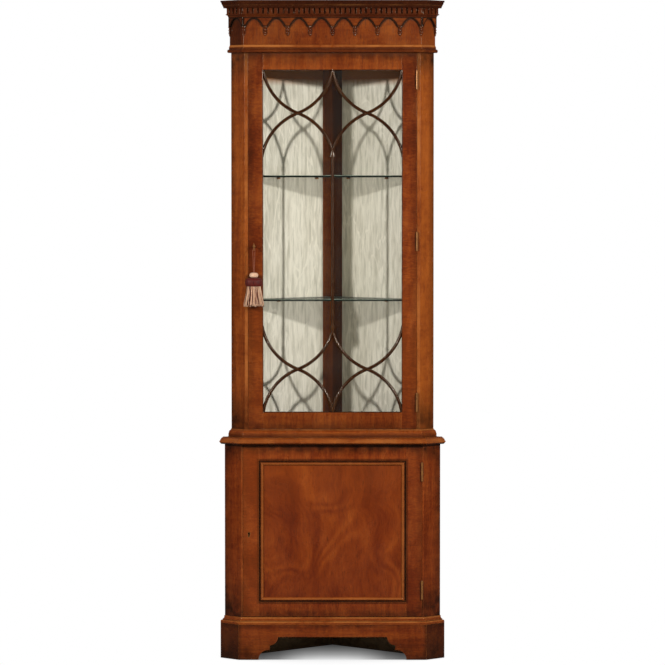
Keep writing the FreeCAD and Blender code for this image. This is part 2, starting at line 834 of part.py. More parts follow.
def upper_carcase():
    right = post(upper_half_width, upper_cant, upper_return_width, upper_z, bead_z)
    left = mirrored(right)
    floor = board(upper_half_width, upper_cant, 0, panel_thickness, upper_z, upper_board_thickness)
    export("upper_bottom_board", floor.cut([left, right]))
    for z in upper_hinge_heights:
        right = right.cut(leaf_bed(upper_door_half + side_gap, upper_front, z, 1))
    left, strike = bed_strike(left, -upper_door_half, upper_front, upper_lock_height)
    export("upper_post_right", right)
    export("upper_post_left", left)
    export("upper_door_stops", door_stops(upper_half_width, upper_cant, upper_return_width,
                                          upper_floor_z, bead_z))
    export_walls("upper", upper_half_width, upper_z, cornice_z, upper_pegs())
    lining = wall_panel(upper_half_width, -post_thickness, lining_offset, panel_thickness,
                        upper_floor_z, bead_z)
    lining = lining.cut(upper_pegs())
    export("lining_right", lining)
    export("lining_left", mirrored(lining))
    back_inner = corner_y - lining_offset * root2
    half = corner_post_width / 2
    export("back_corner_post", prism([(-half, back_inner - half), (half, back_inner - half),
                                      (0, back_inner)], upper_floor_z, bead_z - upper_floor_z))
    export("upper_top_board", board(upper_half_width, upper_cant, frieze_projection - frieze_thickness,
                                    panel_thickness, bead_z, top_board_thickness))
    export("dust_board", board(upper_half_width, upper_cant, frieze_projection - frieze_thickness,
                               0, cornice_z, dust_board_thickness))
    for name, z in (("upper", upper_shelf_z), ("lower", lower_shelf_z)):
        export("glass_shelf_" + name, shelf(upper_half_width, upper_cant, lining_offset, z,
                                            shelf_glass_thickness, half + shelf_clearance))
    return strike


def shelf_pegs():
    right = base_pegs() + upper_pegs()
    return right + [mirrored(one) for one in right]


def plinth():
    lengths = mitred_run([(0, 0), (plinth_projection, 0), (plinth_projection, plinth_height),
                          (0, plinth_height)], base_half_width, base_cant)
    export("plinth_front", lengths[0].cut(foot_arch()))
    export("plinth_return_right", lengths[1])
    export("plinth_return_left", lengths[2])
    rail = wall_panel(base_half_width, 0, plinth_rail_thickness, 0, 0, plinth_height)
    export("plinth_rail_right", rail)
    export("plinth_rail_left", mirrored(rail))
    low = plinth_height
    profile = [(0, low), (plinth_projection, low), (plinth_projection, low + plinth_moulding_fillet),
               (plinth_moulding_step, low + plinth_moulding_height, quarter_share),
               (plinth_moulding_neck, low + plinth_moulding_height),
               (plinth_moulding_neck, low + plinth_moulding_height + plinth_moulding_fillet),
               (plinth_moulding_top, base_floor_z - plinth_moulding_fillet, -quarter_share),
               (plinth_moulding_top, base_floor_z), (0, base_floor_z)]
    export("plinth_moulding", mitred_run(profile, base_half_width, base_cant))


# The bracket feet: a cove from the floor, a small step, then a lobe up to the flat of the apron
def foot_arch():
    lobe_x = arch_flat_half + foot_lobe_radius
    cove_x = lobe_x + foot_step_width
    foot_x = cove_x + foot_cove_radius
    half = [(foot_x, 0), (cove_x, foot_cove_radius, quarter_share),
            (lobe_x, foot_cove_radius), (lobe_x, foot_step_height),
            (arch_flat_half, arch_height, -quarter_share)]
    back = [(-arch_flat_half, arch_height), (-lobe_x, foot_step_height, -quarter_share),
            (-lobe_x, foot_cove_radius), (-cove_x, foot_cove_radius),
            (-foot_x, 0, quarter_share)]
    points = [(-foot_x, -overrun), (foot_x, -overrun)] + half + back
    y0 = base_front - plinth_projection - overrun
    wire = outline(points, lambda x, z: FreeCAD.Vector(x, y0, z))
    return Part.Face(wire).extrude(Y * (plinth_projection + 2 * overrun))


def upper_base_moulding():
    low = upper_z
    foot = waist_foot_projection
    high = low + waist_fillet_height + waist_ovolo_height
    profile = [(0, low), (foot, low), (foot, low + waist_fillet_height),
               (foot - waist_quirk, low + waist_fillet_height),
               (waist_ovolo_projection, high, quarter_share),
               (waist_ovolo_projection, upper_floor_z), (0, upper_floor_z)]
    export("upper_base_moulding", mitred_run(profile, upper_half_width, upper_cant))


def frieze():
    inner = frieze_projection - frieze_thickness
    bead_top = bead_z + frieze_bead_height
    cove_top = bead_top + frieze_cove_height
    profile = [(inner, bead_z), (frieze_bead_projection, bead_z),
               (frieze_bead_projection, bead_top, half_share),
               (frieze_cove_projection, bead_top), (frieze_cove_projection, cove_top),
               (frieze_projection, frieze_z), (inner, frieze_z)]
    export("frieze_bead_moulding", mitred_run(profile, upper_half_width, upper_cant))
    boards = mitred_run([(inner, frieze_z), (frieze_projection, frieze_z),
                         (frieze_projection, cornice_z), (inner, cornice_z)],
                        upper_half_width, upper_cant)
    export("frieze_boards", boards)


# Lower edge of the arcade along one run, from the middle of its first drop to that of its last
def arcade_edge(x0, span, count, low):
    points = []
    for i in range(count):
        left = x0 + i * span + pillar_half_width
        right = x0 + (i + 1) * span - pillar_half_width
        middle = (left + right) / 2
        crown = low + arch_rise
        crown_half = arch_crown_radius * math.sin(math.radians(arch_crown_deg))
        crown_drop = arch_crown_radius * (1 - math.cos(math.radians(arch_crown_deg)))
        side_chord = math.hypot(middle - crown_half - left, arch_rise - crown_drop)
        side_bulge = -2 * arch_side_sagitta / side_chord
        crown_bulge = -math.tan(math.radians(arch_crown_deg) / 2)
        points.append((left, low))
        points.append((middle - crown_half, crown - crown_drop, side_bulge))
        points.append((middle + crown_half, crown - crown_drop, crown_bulge))
        points.append((right, low, side_bulge))
    return points


def fret_places():
    arris = upper_flat_half + (frieze_projection + fret_thickness) * mitre
    span = 2 * arris / arch_count
    return arris, span


def arcade_fret():
    arris, span = fret_places()
    low = arch_foot_z
    high = fret_top_z
    inner = frieze_projection
    outer = frieze_projection + fret_thickness
    y0 = upper_front - outer
    wide = arris + overrun
    points = ([(-wide, high), (-wide, low)] + arcade_edge(-arris, span, arch_count, low)
              + [(wide, low), (wide, high)])
    wire = outline(points, lambda x, z: FreeCAD.Vector(x, y0, z))
    plate = Part.Face(wire).extrude(Y * fret_thickness)
    front = plate.common(front_wedge(upper_half_width, upper_cant, inner, outer, low, high))
    start = upper_flat_half - outer * mitre
    end = upper_flat_half + upper_cant * root2
    points = ([(start - overrun, high), (start - overrun, low)]
              + arcade_edge(start, end - start, 1, low) + [(end, low), (end, high)])
    wire = outline(points, lambda x, z: FreeCAD.Vector(x, y0, z))
    plate = Part.Face(wire).extrude(Y * fret_thickness)
    side = plate.common(return_wedge(upper_half_width, upper_cant, inner, outer, low, high))
    right = turn_return(side, upper_half_width, upper_cant)
    export("arcade_fret", [front, right, mirrored(right)])


# A turned drop with a taper, a neck, two beads and a small finial.
# It goes round from the direction start_deg, by turn_deg, and its back edge is its centre line
def turned_drop(x, y, start_deg, turn_deg):
    top = arch_foot_z
    neck = top - drop_top_length
    waist = neck - drop_bead_height
    bead_low = waist - drop_bead_height
    half_bead = drop_bead_height / 2
    profile = [(drop_radius, top), (drop_neck_radius, neck), (drop_bead_radius, neck - half_bead),
               (drop_neck_radius, waist), (drop_bead_radius, waist - half_bead),
               (drop_neck_radius, bead_low), (drop_finial_radius, bead_low - drop_finial_radius / 2),
               (drop_tip_radius, top - drop_length)]
    count = round(turn_deg / drop_step_deg)
    angles = [start_deg + i * turn_deg / count for i in range(count + 1)]
    return stacked([ring_points(x, y, z, radius, 1, angles) + [FreeCAD.Vector(x, y, z)]
                    for radius, z in profile])


# Half drops along the front, wider ones round the arrises and quarters against the walls
def fret_drops():
    arris, span = fret_places()
    y = upper_front - frieze_projection
    drops = [turned_drop(-arris + i * span, y, 180, 180) for i in range(1, arch_count)]
    corner = turned_drop(upper_flat_half + frieze_projection * mitre, y, 180, 225)
    x, wall_y = wall_point(upper_half_width, frieze_projection, 0)
    end = turned_drop(x, wall_y, 225, 90)
    drops += [corner, mirrored(corner), end, mirrored(end)]
    export("fret_drops", drops)


# Dentils stand on a band above a cove; the band's foot sits on the arcade
def dentil_moulding():
    band = dentil_z
    fillet = band - dentil_fillet_height
    profile = [(frieze_projection, fret_top_z), (cove_foot_projection, fret_top_z),
               (dentil_fillet_projection, fillet, -quarter_share),
               (dentil_fillet_projection, band), (dentil_back, band), (dentil_back, cornice_z),
               (frieze_projection, cornice_z)]
    front, right, left = mitred_run(profile, upper_half_width, upper_cant)
    y0 = upper_front - dentil_projection
    y1 = upper_front - dentil_back
    blocks = []
    spare = dentil_pitch - dentil_width
    count = int((2 * (upper_flat_half + dentil_projection * mitre) + spare) / dentil_pitch)
    for i in range(count):
        x = (i - (count - 1) / 2) * dentil_pitch - dentil_width / 2
        blocks.append(box(x, x + dentil_width, y0, y1, band, cornice_z))
    front = front.fuse(blocks).removeSplitter()
    end = upper_flat_half + upper_cant * root2
    side = []
    for i in range(int((upper_cant * root2 + dentil_projection * mitre) / dentil_pitch)):
        x = end - dentil_width / 2 - i * dentil_pitch - dentil_width
        side.append(turn_return(box(x, x + dentil_width, y0, y1, band, cornice_z),
                                upper_half_width, upper_cant))
    right = right.fuse(side).removeSplitter()
    export("dentil_moulding", [front, right, mirrored(right)])


def cornice():
    inner = frieze_projection - frieze_thickness
    low = cornice_z
    cove = low + cornice_cove_height
    neck = cove + cornice_fillet_height
    lip = top_z - cornice_top_fillet_height
    middle_p = (cornice_fillet_projection + cornice_top_projection) / 2
    middle_z = (neck + lip) / 2
    profile = [(inner, low), (cornice_soffit_projection, low),
               (cornice_cove_projection, cove, -soft_share),
               (cornice_fillet_projection, cove), (cornice_fillet_projection, neck),
               (middle_p, middle_z, soft_share), (cornice_top_projection, lip, -soft_share),
               (cornice_top_projection, top_z), (inner, top_z)]
    export("cornice_moulding", mitred_run(profile, upper_half_width, upper_cant))


# The bow of the key: a flat ring in the plane of the bit
def key_bow(x, y, z):
    turns = [i * 360 / bow_sides for i in range(bow_sides)]
    discs = []
    for radius in (bow_radius + bow_width / 2, bow_radius - bow_width / 2):
        points = [FreeCAD.Vector(x - bow_thickness / 2, point.x, point.y)
                  for point in ring_points(y, z, 0, radius, 1, turns)]
        discs.append(Part.Face(Part.makePolygon(points + points[:1])).extrude(X * bow_thickness))
    return discs[0].cut(discs[1])


# The key: shank, bit, collar and bow
def key():
    x = -upper_door_half + backset
    z = upper_lock_height
    bow_y = upper_front - bow_distance
    shank_start = bow_y + bow_radius
    tip = upper_front + door_thickness - lock_wall - key_tip_gap
    shank = rod(FreeCAD.Vector(x, shank_start, z), Y, key_radius, tip - shank_start)
    bit_y = upper_front + door_thickness - lock_depth + bit_start
    bit = box(x - bit_thickness / 2, x + bit_thickness / 2, bit_y, bit_y + bit_width,
              z - bit_length, z)
    collar_y = upper_front - collar_distance - collar_length
    collar = rod(FreeCAD.Vector(x, collar_y, z), Y, collar_radius, collar_length)
    bow = key_bow(x, bow_y, z)
    return shank.fuse([bit, collar, bow]).removeSplitter()


# A free cord: straight runs joined by arcs as large as the runs allow
def cord_tube(points, diameter):
    edges = []
    start = points[0]
    for i in range(1, len(points) - 1):
        back = points[i - 1] - points[i]
        ahead = points[i + 1] - points[i]
        half_turn = (math.pi - back.getAngle(ahead)) / 2
        trim = arc_trim_share * min(back.Length, ahead.Length)
        radius = trim / math.tan(half_turn)
        back.normalize()
        ahead.normalize()
        arc_start = points[i] + back * trim
        arc_end = points[i] + ahead * trim
        to_centre = (back + ahead).normalize()
        middle = points[i] + to_centre * (radius / math.cos(half_turn) - radius)
        edges.append(Part.LineSegment(start, arc_start).toShape())
        edges.append(Part.Arc(arc_start, middle, arc_end).toShape())
        start = arc_end
        print("cord radius", round(radius, 2))
    edges.append(Part.LineSegment(start, points[-1]).toShape())
    path = Part.Wire(edges)
    section = cord_section(points[0], (points[1] - points[0]).normalize(), diameter)
    tube = path.makePipeShell([section], True, False)
    print("cord length", round(path.Length, 1), "tube volume", round(tube.Volume, 1),
          "section by length", round(Part.Face(section).Area * path.Length, 1))
    return tube


def cord_section(centre, along, diameter):
    across = along.cross(Y)
    corners = []
    for i in range(cord_sides):
        angle = 2 * math.pi * i / cord_sides
        corners.append(centre + (across * math.cos(angle) + Y * math.sin(angle)) * (diameter / 2))
    return Part.makePolygon(corners + corners[:1])


# A many-sided oval solid through (width, height) levels, as deep as depth_share of its width
def oval_stack(x, y, depth_share, levels):
    turns = [i * 360 / tassel_sides for i in range(tassel_sides)]
    return stacked([ring_points(x, y, z, width / 2, depth_share, turns) for width, z in levels])


def tassel():
    x = -upper_door_half + backset
    y = upper_front - bow_distance
    rim_z = upper_lock_height - bow_radius
    bead_top = rim_z - tassel_cord_drop
    loop_z = rim_z + loop_half_width
    route = [FreeCAD.Vector(x - strand_half_gap, y, bead_top),
             FreeCAD.Vector(x - loop_half_width, y, loop_z),
             FreeCAD.Vector(x + loop_half_width, y, loop_z),
             FreeCAD.Vector(x + strand_half_gap, y, bead_top)]
    export("tassel_cord", cord_tube(route, tassel_cord_diameter))
    bead_low = bead_top - tassel_bead_height
    export("tassel_bead", oval_stack(x, y, 1, [
        (tassel_bead_width * width_share, bead_top - tassel_bead_height * drop_share)
        for width_share, drop_share in tassel_bead_shares]))
    head_low = bead_low - tassel_head_height
    levels = [(tassel_head_width * width_share, bead_low - tassel_head_height * drop_share)
              for width_share, drop_share in tassel_head_shares]
    levels.append((tassel_skirt_top, head_low))
    export("tassel_head", oval_stack(x, y, tassel_depth_share, levels))
    export("tassel_skirt", oval_stack(x, y, tassel_depth_share, [
        (tassel_skirt_top, head_low), (tassel_skirt_waist, head_low - tassel_skirt_height / 3),
        (tassel_skirt_bottom, head_low - tassel_skirt_height)]))


os.makedirs("parts", exist_ok=True)
plinth()
lower_strike = base_carcase()
upper_base_moulding()
upper_strike = upper_carcase()
export("strike_plates", [lower_strike, upper_strike])
export("shelf_pegs", shelf_pegs())
frieze()
arcade_fret()
fret_drops()
dentil_moulding()
cornice()
upper_door()
lower_door()
case_leaves = [case_leaf(upper_door_half, upper_front, z) for z in upper_hinge_heights]
case_leaves += [case_leaf(lower_door_half, base_front, z) for z in lower_hinge_heights]
export("hinge_case_leaves", case_leaves)
export("upper_key", key())
tassel()
print("height", top_z, "depth", corner_y - (base_front - waist_projection))
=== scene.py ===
import bmesh
import bpy
import math
import random
from mathutils import Matrix, Vector


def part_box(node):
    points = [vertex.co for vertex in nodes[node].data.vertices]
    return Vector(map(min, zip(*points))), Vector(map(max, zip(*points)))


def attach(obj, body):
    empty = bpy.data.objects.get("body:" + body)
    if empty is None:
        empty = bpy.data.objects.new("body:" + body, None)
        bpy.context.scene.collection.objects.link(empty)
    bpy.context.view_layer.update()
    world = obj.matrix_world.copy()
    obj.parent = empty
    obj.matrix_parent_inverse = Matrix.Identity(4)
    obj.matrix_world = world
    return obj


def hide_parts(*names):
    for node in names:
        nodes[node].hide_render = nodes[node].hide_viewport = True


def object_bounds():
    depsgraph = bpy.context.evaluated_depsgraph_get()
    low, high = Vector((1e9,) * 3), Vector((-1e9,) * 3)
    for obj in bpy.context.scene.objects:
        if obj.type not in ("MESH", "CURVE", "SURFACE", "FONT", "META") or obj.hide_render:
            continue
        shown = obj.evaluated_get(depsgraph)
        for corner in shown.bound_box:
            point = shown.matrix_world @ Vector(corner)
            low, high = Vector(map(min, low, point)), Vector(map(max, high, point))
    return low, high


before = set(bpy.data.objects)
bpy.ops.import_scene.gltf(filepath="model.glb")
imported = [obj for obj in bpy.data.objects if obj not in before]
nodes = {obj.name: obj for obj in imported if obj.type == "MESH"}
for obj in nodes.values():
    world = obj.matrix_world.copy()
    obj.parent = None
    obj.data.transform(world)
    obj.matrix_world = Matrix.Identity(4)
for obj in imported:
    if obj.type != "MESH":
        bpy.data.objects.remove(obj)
cadLow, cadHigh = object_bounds()
print("frame loaded:", len(nodes), "nodes")


def addObject(name, data):
    item = bpy.data.objects.new(name, data)
    bpy.context.scene.collection.objects.link(item)
    return item


# Camera: level with the top of the tracery, a long way back, as in the photograph
camera = {"position": (0.0, -11.0, 1.40), "aim": (0.0, -0.17, 0.9598), "frameHeight": 1.9463,
          "sensor": 36.0, "reach": 60.0}


def makeCamera():
    data = bpy.data.cameras.new("camera")
    item = addObject("camera", data)
    place = Vector(camera["position"])
    aim = Vector(camera["aim"])
    item.location = place
    item.rotation_euler = (aim - place).to_track_quat("-Z", "Y").to_euler()
    data.sensor_width = camera["sensor"]
    data.lens = data.sensor_width * (aim - place).length / camera["frameHeight"]
    data.clip_end = camera["reach"]
    bpy.context.scene.camera = item


makeCamera()


# Cord of the tassel: out of the bead, up through the bow of the key and back
cordRoute = {
    "points": [(-0.2311, -0.17105, 1.1350), (-0.2331, -0.17105, 1.1950),
               (-0.2333, -0.17105, 1.2058), (-0.2267, -0.17105, 1.2058),
               (-0.2269, -0.17105, 1.1950), (-0.2289, -0.17105, 1.1350)],
    "diameter": 0.0018,
    "length": 0.1456,
}


def makeCord():
    data = bpy.data.curves.new("tasselCord", "CURVE")
    data.dimensions = "3D"
    spline = data.splines.new("NURBS")
    spline.points.add(len(cordRoute["points"]) - 1)
    for point, place in zip(spline.points, cordRoute["points"]):
        point.co = (*place, 1.0)
    spline.order_u = 3
    spline.use_endpoint_u = True
    spline.resolution_u = 16
    data.bevel_depth = cordRoute["diameter"] / 2
    data.bevel_resolution = 3
    data.use_fill_caps = True
    return addObject("tasselCord", data)


tasselCord = makeCord()
print("camera and cord made")


# Shader helpers: colours are written as they look, 0 to 255
def colour(red, green, blue):
    linear = []
    for part in (red / 255, green / 255, blue / 255):
        linear.append(part / 12.92 if part <= 0.04045 else ((part + 0.055) / 1.055) ** 2.4)
    return (*linear, 1.0)


def setInputs(tree, node, inputs):
    for key, value in inputs.items():
        if isinstance(value, bpy.types.NodeSocket):
            tree.links.new(value, node.inputs[key])
        else:
            node.inputs[key].default_value = value


def addNode(tree, kind, inputs=None, **settings):
    node = tree.nodes.new("ShaderNode" + kind)
    for key, value in settings.items():
        setattr(node, key, value)
    setInputs(tree, node, inputs or {})
    return node


def maths(tree, operation, first, second=0.0, third=0.0):
    return addNode(tree, "Math", {0: first, 1: second, 2: third}, operation=operation).outputs[0]


def wave(tree, value, rate):
    return maths(tree, "SINE", maths(tree, "MULTIPLY", value, rate))


def mapRange(tree, value, low, high, toLow=0.0, toHigh=1.0):
    inputs = {"Value": value, "From Min": low, "From Max": high, "To Min": toLow, "To Max": toHigh}
    return addNode(tree, "MapRange", inputs).outputs[0]


def mixColour(tree, share, first, second, blend="MIX"):
    inputs = {0: share, 6: first, 7: second}
    return addNode(tree, "Mix", inputs, data_type="RGBA", blend_type=blend).outputs[2]


def ramp(tree, value, stops):
    node = addNode(tree, "ValToRGB", {"Fac": value})
    bar = node.color_ramp
    bar.elements[0].position, bar.elements[0].color = stops[0]
    bar.elements[1].position, bar.elements[1].color = stops[-1]
    for place, shade in stops[1:-1]:
        bar.elements.new(place).color = shade
    return node.outputs[0]


def greyRamp(tree, value, greys):
    return ramp(tree, value, [(share, colour(grey, grey, grey)) for share, grey in greys])


def stretched(tree, coord, scale, shift=(0.0, 0.0, 0.0), turn=(0.0, 0.0, 0.0)):
    inputs = {"Vector": coord, "Scale": scale, "Location": shift, "Rotation": turn}
    return addNode(tree, "Mapping", inputs).outputs[0]


def noise(tree, vector, scale=1.0, detail=3.0, rough=0.5, distortion=0.0):
    inputs = {"Vector": vector, "Scale": scale, "Detail": detail, "Roughness": rough,
              "Distortion": distortion}
    return addNode(tree, "TexNoise", inputs).outputs["Fac"]


def occlusion(tree, reach, samples=8, inside=False):
    node = addNode(tree, "AmbientOcclusion", {"Distance": reach}, samples=samples, inside=inside)
    return node.outputs["AO"]


def bumped(tree, height, strength, distance, **more):
    inputs = {"Height": height, "Strength": strength, "Distance": distance, **more}
    return addNode(tree, "Bump", inputs).outputs["Normal"]


def startMaterial(name):
    material = bpy.data.materials.new(name)
    material.use_nodes = True
    tree = material.node_tree
    shader = tree.nodes["Principled BSDF"]
    coord = addNode(tree, "TexCoord").outputs["Object"]
    return material, tree, shader, coord


# Mahogany: ribbon figure and pores along the grain, dark glaze with painted shade in the quirks
# and recesses, wear with painted highlights on the edges.
# Each figure has how often it changes along the grain and across it
wood = {
    "deep": colour(64, 24, 8), "mid": colour(121, 54, 18), "light": colour(170, 92, 34),
    "glazeAndShade": colour(20, 8, 4), "tan": colour(180, 114, 60), "wornAndGlint": colour(172, 100, 46),
    "pore": colour(44, 17, 7), "red": colour(100, 39, 13),
    "ribbon": (3.5, 70.0), "ripple": (75.0, 16.0), "fleck": (110.0, 330.0), "pores": (42.0, 900.0),
    "cloud": (9.0, 9.0, 6.0),
    "ribbonShare": 0.50, "rippleShare": 0.20, "cloudShare": 0.30, "fleckShare": 0.30,
    "poreShare": 0.6, "glazeAndShadeShare": 0.95, "wearAndGlintShare": 0.75, "rimShare": 0.9,
    "glazeAndShadeReach": 0.024, "wearAndGlintWidth": 0.0012, "roughness": 0.25, "specular": 0.38,
    "coat": 0.15, "coatRoughness": 0.14, "bump": 0.25, "bumpDepth": 0.0003,
    "reflection": (1.0, 0.84, 0.66, 1.0), "warm": (1.0, 0.95, 0.78), "redder": (1.0, 0.86, 0.74),
}


def scaleAlong(grain, along, across):
    return tuple(along if axis == grain else across for axis in "XYZ")


def grainNoise(tree, coord, grain, figure, shift, *settings):
    scale = scaleAlong(grain, *wood[figure])
    return noise(tree, stretched(tree, coord, scale, shift), 1.0, *settings)


def pulse(tree, value, near, far, soft):
    rise = mapRange(tree, value, near - soft, near + soft)
    fall = mapRange(tree, value, far + soft, far - soft)
    return maths(tree, "MULTIPLY", rise, fall)


# A mark is a stripe of another shade: at a height, beside the middle, or round an opening.
# Many marks are painted light and shade.
def markMask(tree, parts, mark):
    side = maths(tree, "ABSOLUTE", parts.outputs["X"])
    if "half" in mark:
        middle = (mark["low"] + mark["high"]) / 2
        out = maths(tree, "SUBTRACT", side, mark["half"])
        up = maths(tree, "ABSOLUTE", maths(tree, "SUBTRACT", parts.outputs["Z"], middle))
        up = maths(tree, "SUBTRACT", up, (mark["high"] - mark["low"]) / 2)
        value = maths(tree, "MAXIMUM", out, up)
    elif "side" in mark:
        value = maths(tree, "MULTIPLY", parts.outputs["X"], mark["side"])
    else:
        value = side if mark.get("across") else parts.outputs["Z"]
    return pulse(tree, value, mark["near"], mark["far"], mark.get("soft", 0.0008))


# Straight-grained figure, as a value that the ramp of wood colours reads
def plainFigure(tree, coord, grain, shift, ribbon, cloud, mottle):
    ripple = grainNoise(tree, coord, grain, "ripple", shift, 2.0, 0.5, 0.8)
    fleck = grainNoise(tree, coord, grain, "fleck", shift, 2.0, 0.6)
    value = maths(tree, "MULTIPLY", ribbon, wood["ribbonShare"] - mottle)
    value = maths(tree, "MULTIPLY_ADD", ripple, wood["rippleShare"], value)
    value = maths(tree, "MULTIPLY_ADD", cloud, wood["cloudShare"] + mottle, value)
    value = maths(tree, "SUBTRACT", value, wood["fleckShare"] / 2)
    return maths(tree, "MULTIPLY_ADD", fleck, wood["fleckShare"], value)


def woodMaterial(name, grain="X", tone=0.0, seed=0.0, figure=None, marks=(), glazeAndShade=1.0, wearAndGlint=1.0,
                 depth=1.0, calm=0.75, polish=1.0, rim=0.0, mottle=0.0, cast=wood["warm"]):
    material, tree, shader, coord = startMaterial(name)
    parts = addNode(tree, "SeparateXYZ", {"Vector": coord})
    shift = (seed, seed * 1.7, seed * 0.6)
    ribbon = grainNoise(tree, coord, grain, "ribbon", shift, 5.0, 0.62, 0.5)
    cloud = noise(tree, stretched(tree, coord, wood["cloud"], shift), 1.0, 3.0, 0.6, 0.5)
    if figure:
        value = figure(tree, coord, ribbon)
    else:
        value = plainFigure(tree, coord, grain, shift, ribbon, cloud, mottle)
    value = maths(tree, "MULTIPLY_ADD", value, calm, tone + 0.5 * (1 - calm))
    base = ramp(tree, value, [(0.22, wood["deep"]), (0.41, wood["red"]), (0.50, wood["mid"]),
                              (0.78, wood["light"])])
    pores = mapRange(tree, grainNoise(tree, coord, grain, "pores", shift, 2.0, 0.5), 0.58, 0.70)
    base = mixColour(tree, maths(tree, "MULTIPLY", pores, wood["poreShare"]), base, wood["pore"])
    # Marks of glaze and painted shade are a little ragged, and tan ones, most of them painted
    # highlights, are broken off in places
    ragged = mapRange(tree, noise(tree, coord, 34.0, 3.0), 0.30, 0.62, 0.35, 1.0)
    broken = mapRange(tree, noise(tree, coord, 6.5, 4.0, 0.7), 0.42, 0.60, 0.15, 1.0)
    for mark in marks:
        share = maths(tree, "MULTIPLY", markMask(tree, parts, mark), mark["strength"])
        if not mark.get("even"):
            share = maths(tree, "MULTIPLY", share, broken if mark["shade"] == "tan" else ragged)
        base = mixColour(tree, share, base, wood[mark["shade"]])
    # Darker in the quirks and recesses by occlusion: glaze that collects there, and painted shade
    openSky = occlusion(tree, wood["glazeAndShadeReach"])
    dark = mapRange(tree, openSky, 0.86, 0.30, 0.0, wood["glazeAndShadeShare"] * glazeAndShade)
    base = mixColour(tree, dark, base, wood["glazeAndShade"])
    # Lighter along the edges: wear, and painted highlights on the arrises
    rounded = addNode(tree, "Bevel", {"Radius": wood["wearAndGlintWidth"]}, samples=4).outputs["Normal"]
    flat = addNode(tree, "NewGeometry").outputs["Normal"]
    meet = addNode(tree, "VectorMath", {0: rounded, 1: flat}, operation="DOT_PRODUCT")
    edge = maths(tree, "MULTIPLY", mapRange(tree, meet.outputs["Value"], 0.995, 0.90), ragged)
    edge = maths(tree, "MULTIPLY", edge, maths(tree, "SUBTRACT", 1.0, dark))
    edge = maths(tree, "MULTIPLY", edge, wood["wearAndGlintShare"] * wearAndGlint)
    base = mixColour(tree, edge, base, wood["wornAndGlint"])
    # Painted shadow along the cut edges of a thin board such as the fret
    if rim:
        within = occlusion(tree, rim, inside=True)
        within = mapRange(tree, within, 0.97, 0.74, 0.0, wood["rimShare"])
        base = mixColour(tree, within, base, wood["glazeAndShade"])
    shade = (*(depth * part for part in cast), 1.0)
    base = mixColour(tree, 1.0, base, shade, "MULTIPLY")
    sheen = mapRange(tree, cloud, 0.3, 0.7, wood["roughness"] - 0.05, wood["roughness"] + 0.08)
    height = maths(tree, "SUBTRACT", maths(tree, "MULTIPLY", ribbon, 0.3), pores)
    setInputs(tree, shader, {
        "Base Color": base,
        "Roughness": maths(tree, "ADD", sheen, maths(tree, "MULTIPLY", dark, 0.2)),
        "Normal": bumped(tree, height, wood["bump"], wood["bumpDepth"], Normal=rounded),
        "Specular IOR Level": wood["specular"] * polish,
        "Specular Tint": wood["reflection"],
        "Coat Weight": wood["coat"] * polish,
        "Coat Roughness": wood["coatRoughness"],
    })
    return material


# Crotch figure of the door panel: flames that swirl across the board, with faint growth rings
crotch = {
    "warp": 3.4, "push": (0.30, 0.0, 0.36), "flame": (15.0, 8.0, 6.5), "flameTurn": (0.0, 0.5, 0.0),
    "fleck": (150.0, 80.0, 44.0), "fleckTurn": (0.0, -0.4, 0.0), "broad": (5.0, 5.0, 4.0),
    "growth": (3.4, 3.0, 2.3), "rings": 150.0, "ringShares": (0.01, 0.055),
    "flameShare": 0.42, "broadShare": 0.34, "fleckShare": 0.16, "ribbonShare": 0.08,
}


def crotchFigure(tree, coord, ribbon):
    inputs = {"Vector": coord, "Scale": crotch["warp"], "Detail": 2.0, "Distortion": 0.5}
    warp = addNode(tree, "TexNoise", inputs).outputs["Color"]
    pushed = addNode(tree, "VectorMath", {0: warp, 1: crotch["push"]}, operation="MULTIPLY")
    moved = addNode(tree, "VectorMath", {0: coord, 1: pushed.outputs[0]}, operation="ADD")
    place = moved.outputs[0]
    flames = stretched(tree, place, crotch["flame"], turn=crotch["flameTurn"])
    flecks = stretched(tree, place, crotch["fleck"], turn=crotch["fleckTurn"])
    flame = noise(tree, flames, 1.0, 4.0, 0.58, 0.2)
    fleck = noise(tree, flecks, 1.0, 3.0, 0.6)
    broad = noise(tree, stretched(tree, place, crotch["broad"]), 1.0, 2.0, 0.5, 0.3)
    growth = noise(tree, stretched(tree, place, crotch["growth"]), 1.0, 1.5, 0.4, 0.4)
    shown = mapRange(tree, broad, 0.42, 0.62, *crotch["ringShares"])
    value = maths(tree, "MULTIPLY", broad, crotch["broadShare"])
    value = maths(tree, "MULTIPLY_ADD", flame, crotch["flameShare"], value)
    value = maths(tree, "MULTIPLY_ADD", fleck, crotch["fleckShare"], value)
    value = maths(tree, "MULTIPLY_ADD", wave(tree, growth, crotch["rings"]), shown, value)
    return maths(tree, "MULTIPLY_ADD", ribbon, crotch["ribbonShare"], value)


# Watered lining: a pale cloth whose fine ribs cross wandering, shining rings and bright veins.
# The shadow under the top board is given as drops below the top of the glass
lining = {
    "cream": colour(229, 223, 205), "shade": colour(201, 195, 176), "mark": colour(170, 164, 145),
    "deep": colour(138, 80, 24), "drift": 0.07, "rings": 430.0, "fineRings": 1300.0, "ribs": 3800.0,
    "veinHalf": (0.004, 0.020), "veinShine": 0.20, "shadowDrops": (0.042, 0.018),
    "cornerReach": 0.05, "cornerShare": 0.35, "specular": 0.1,
}


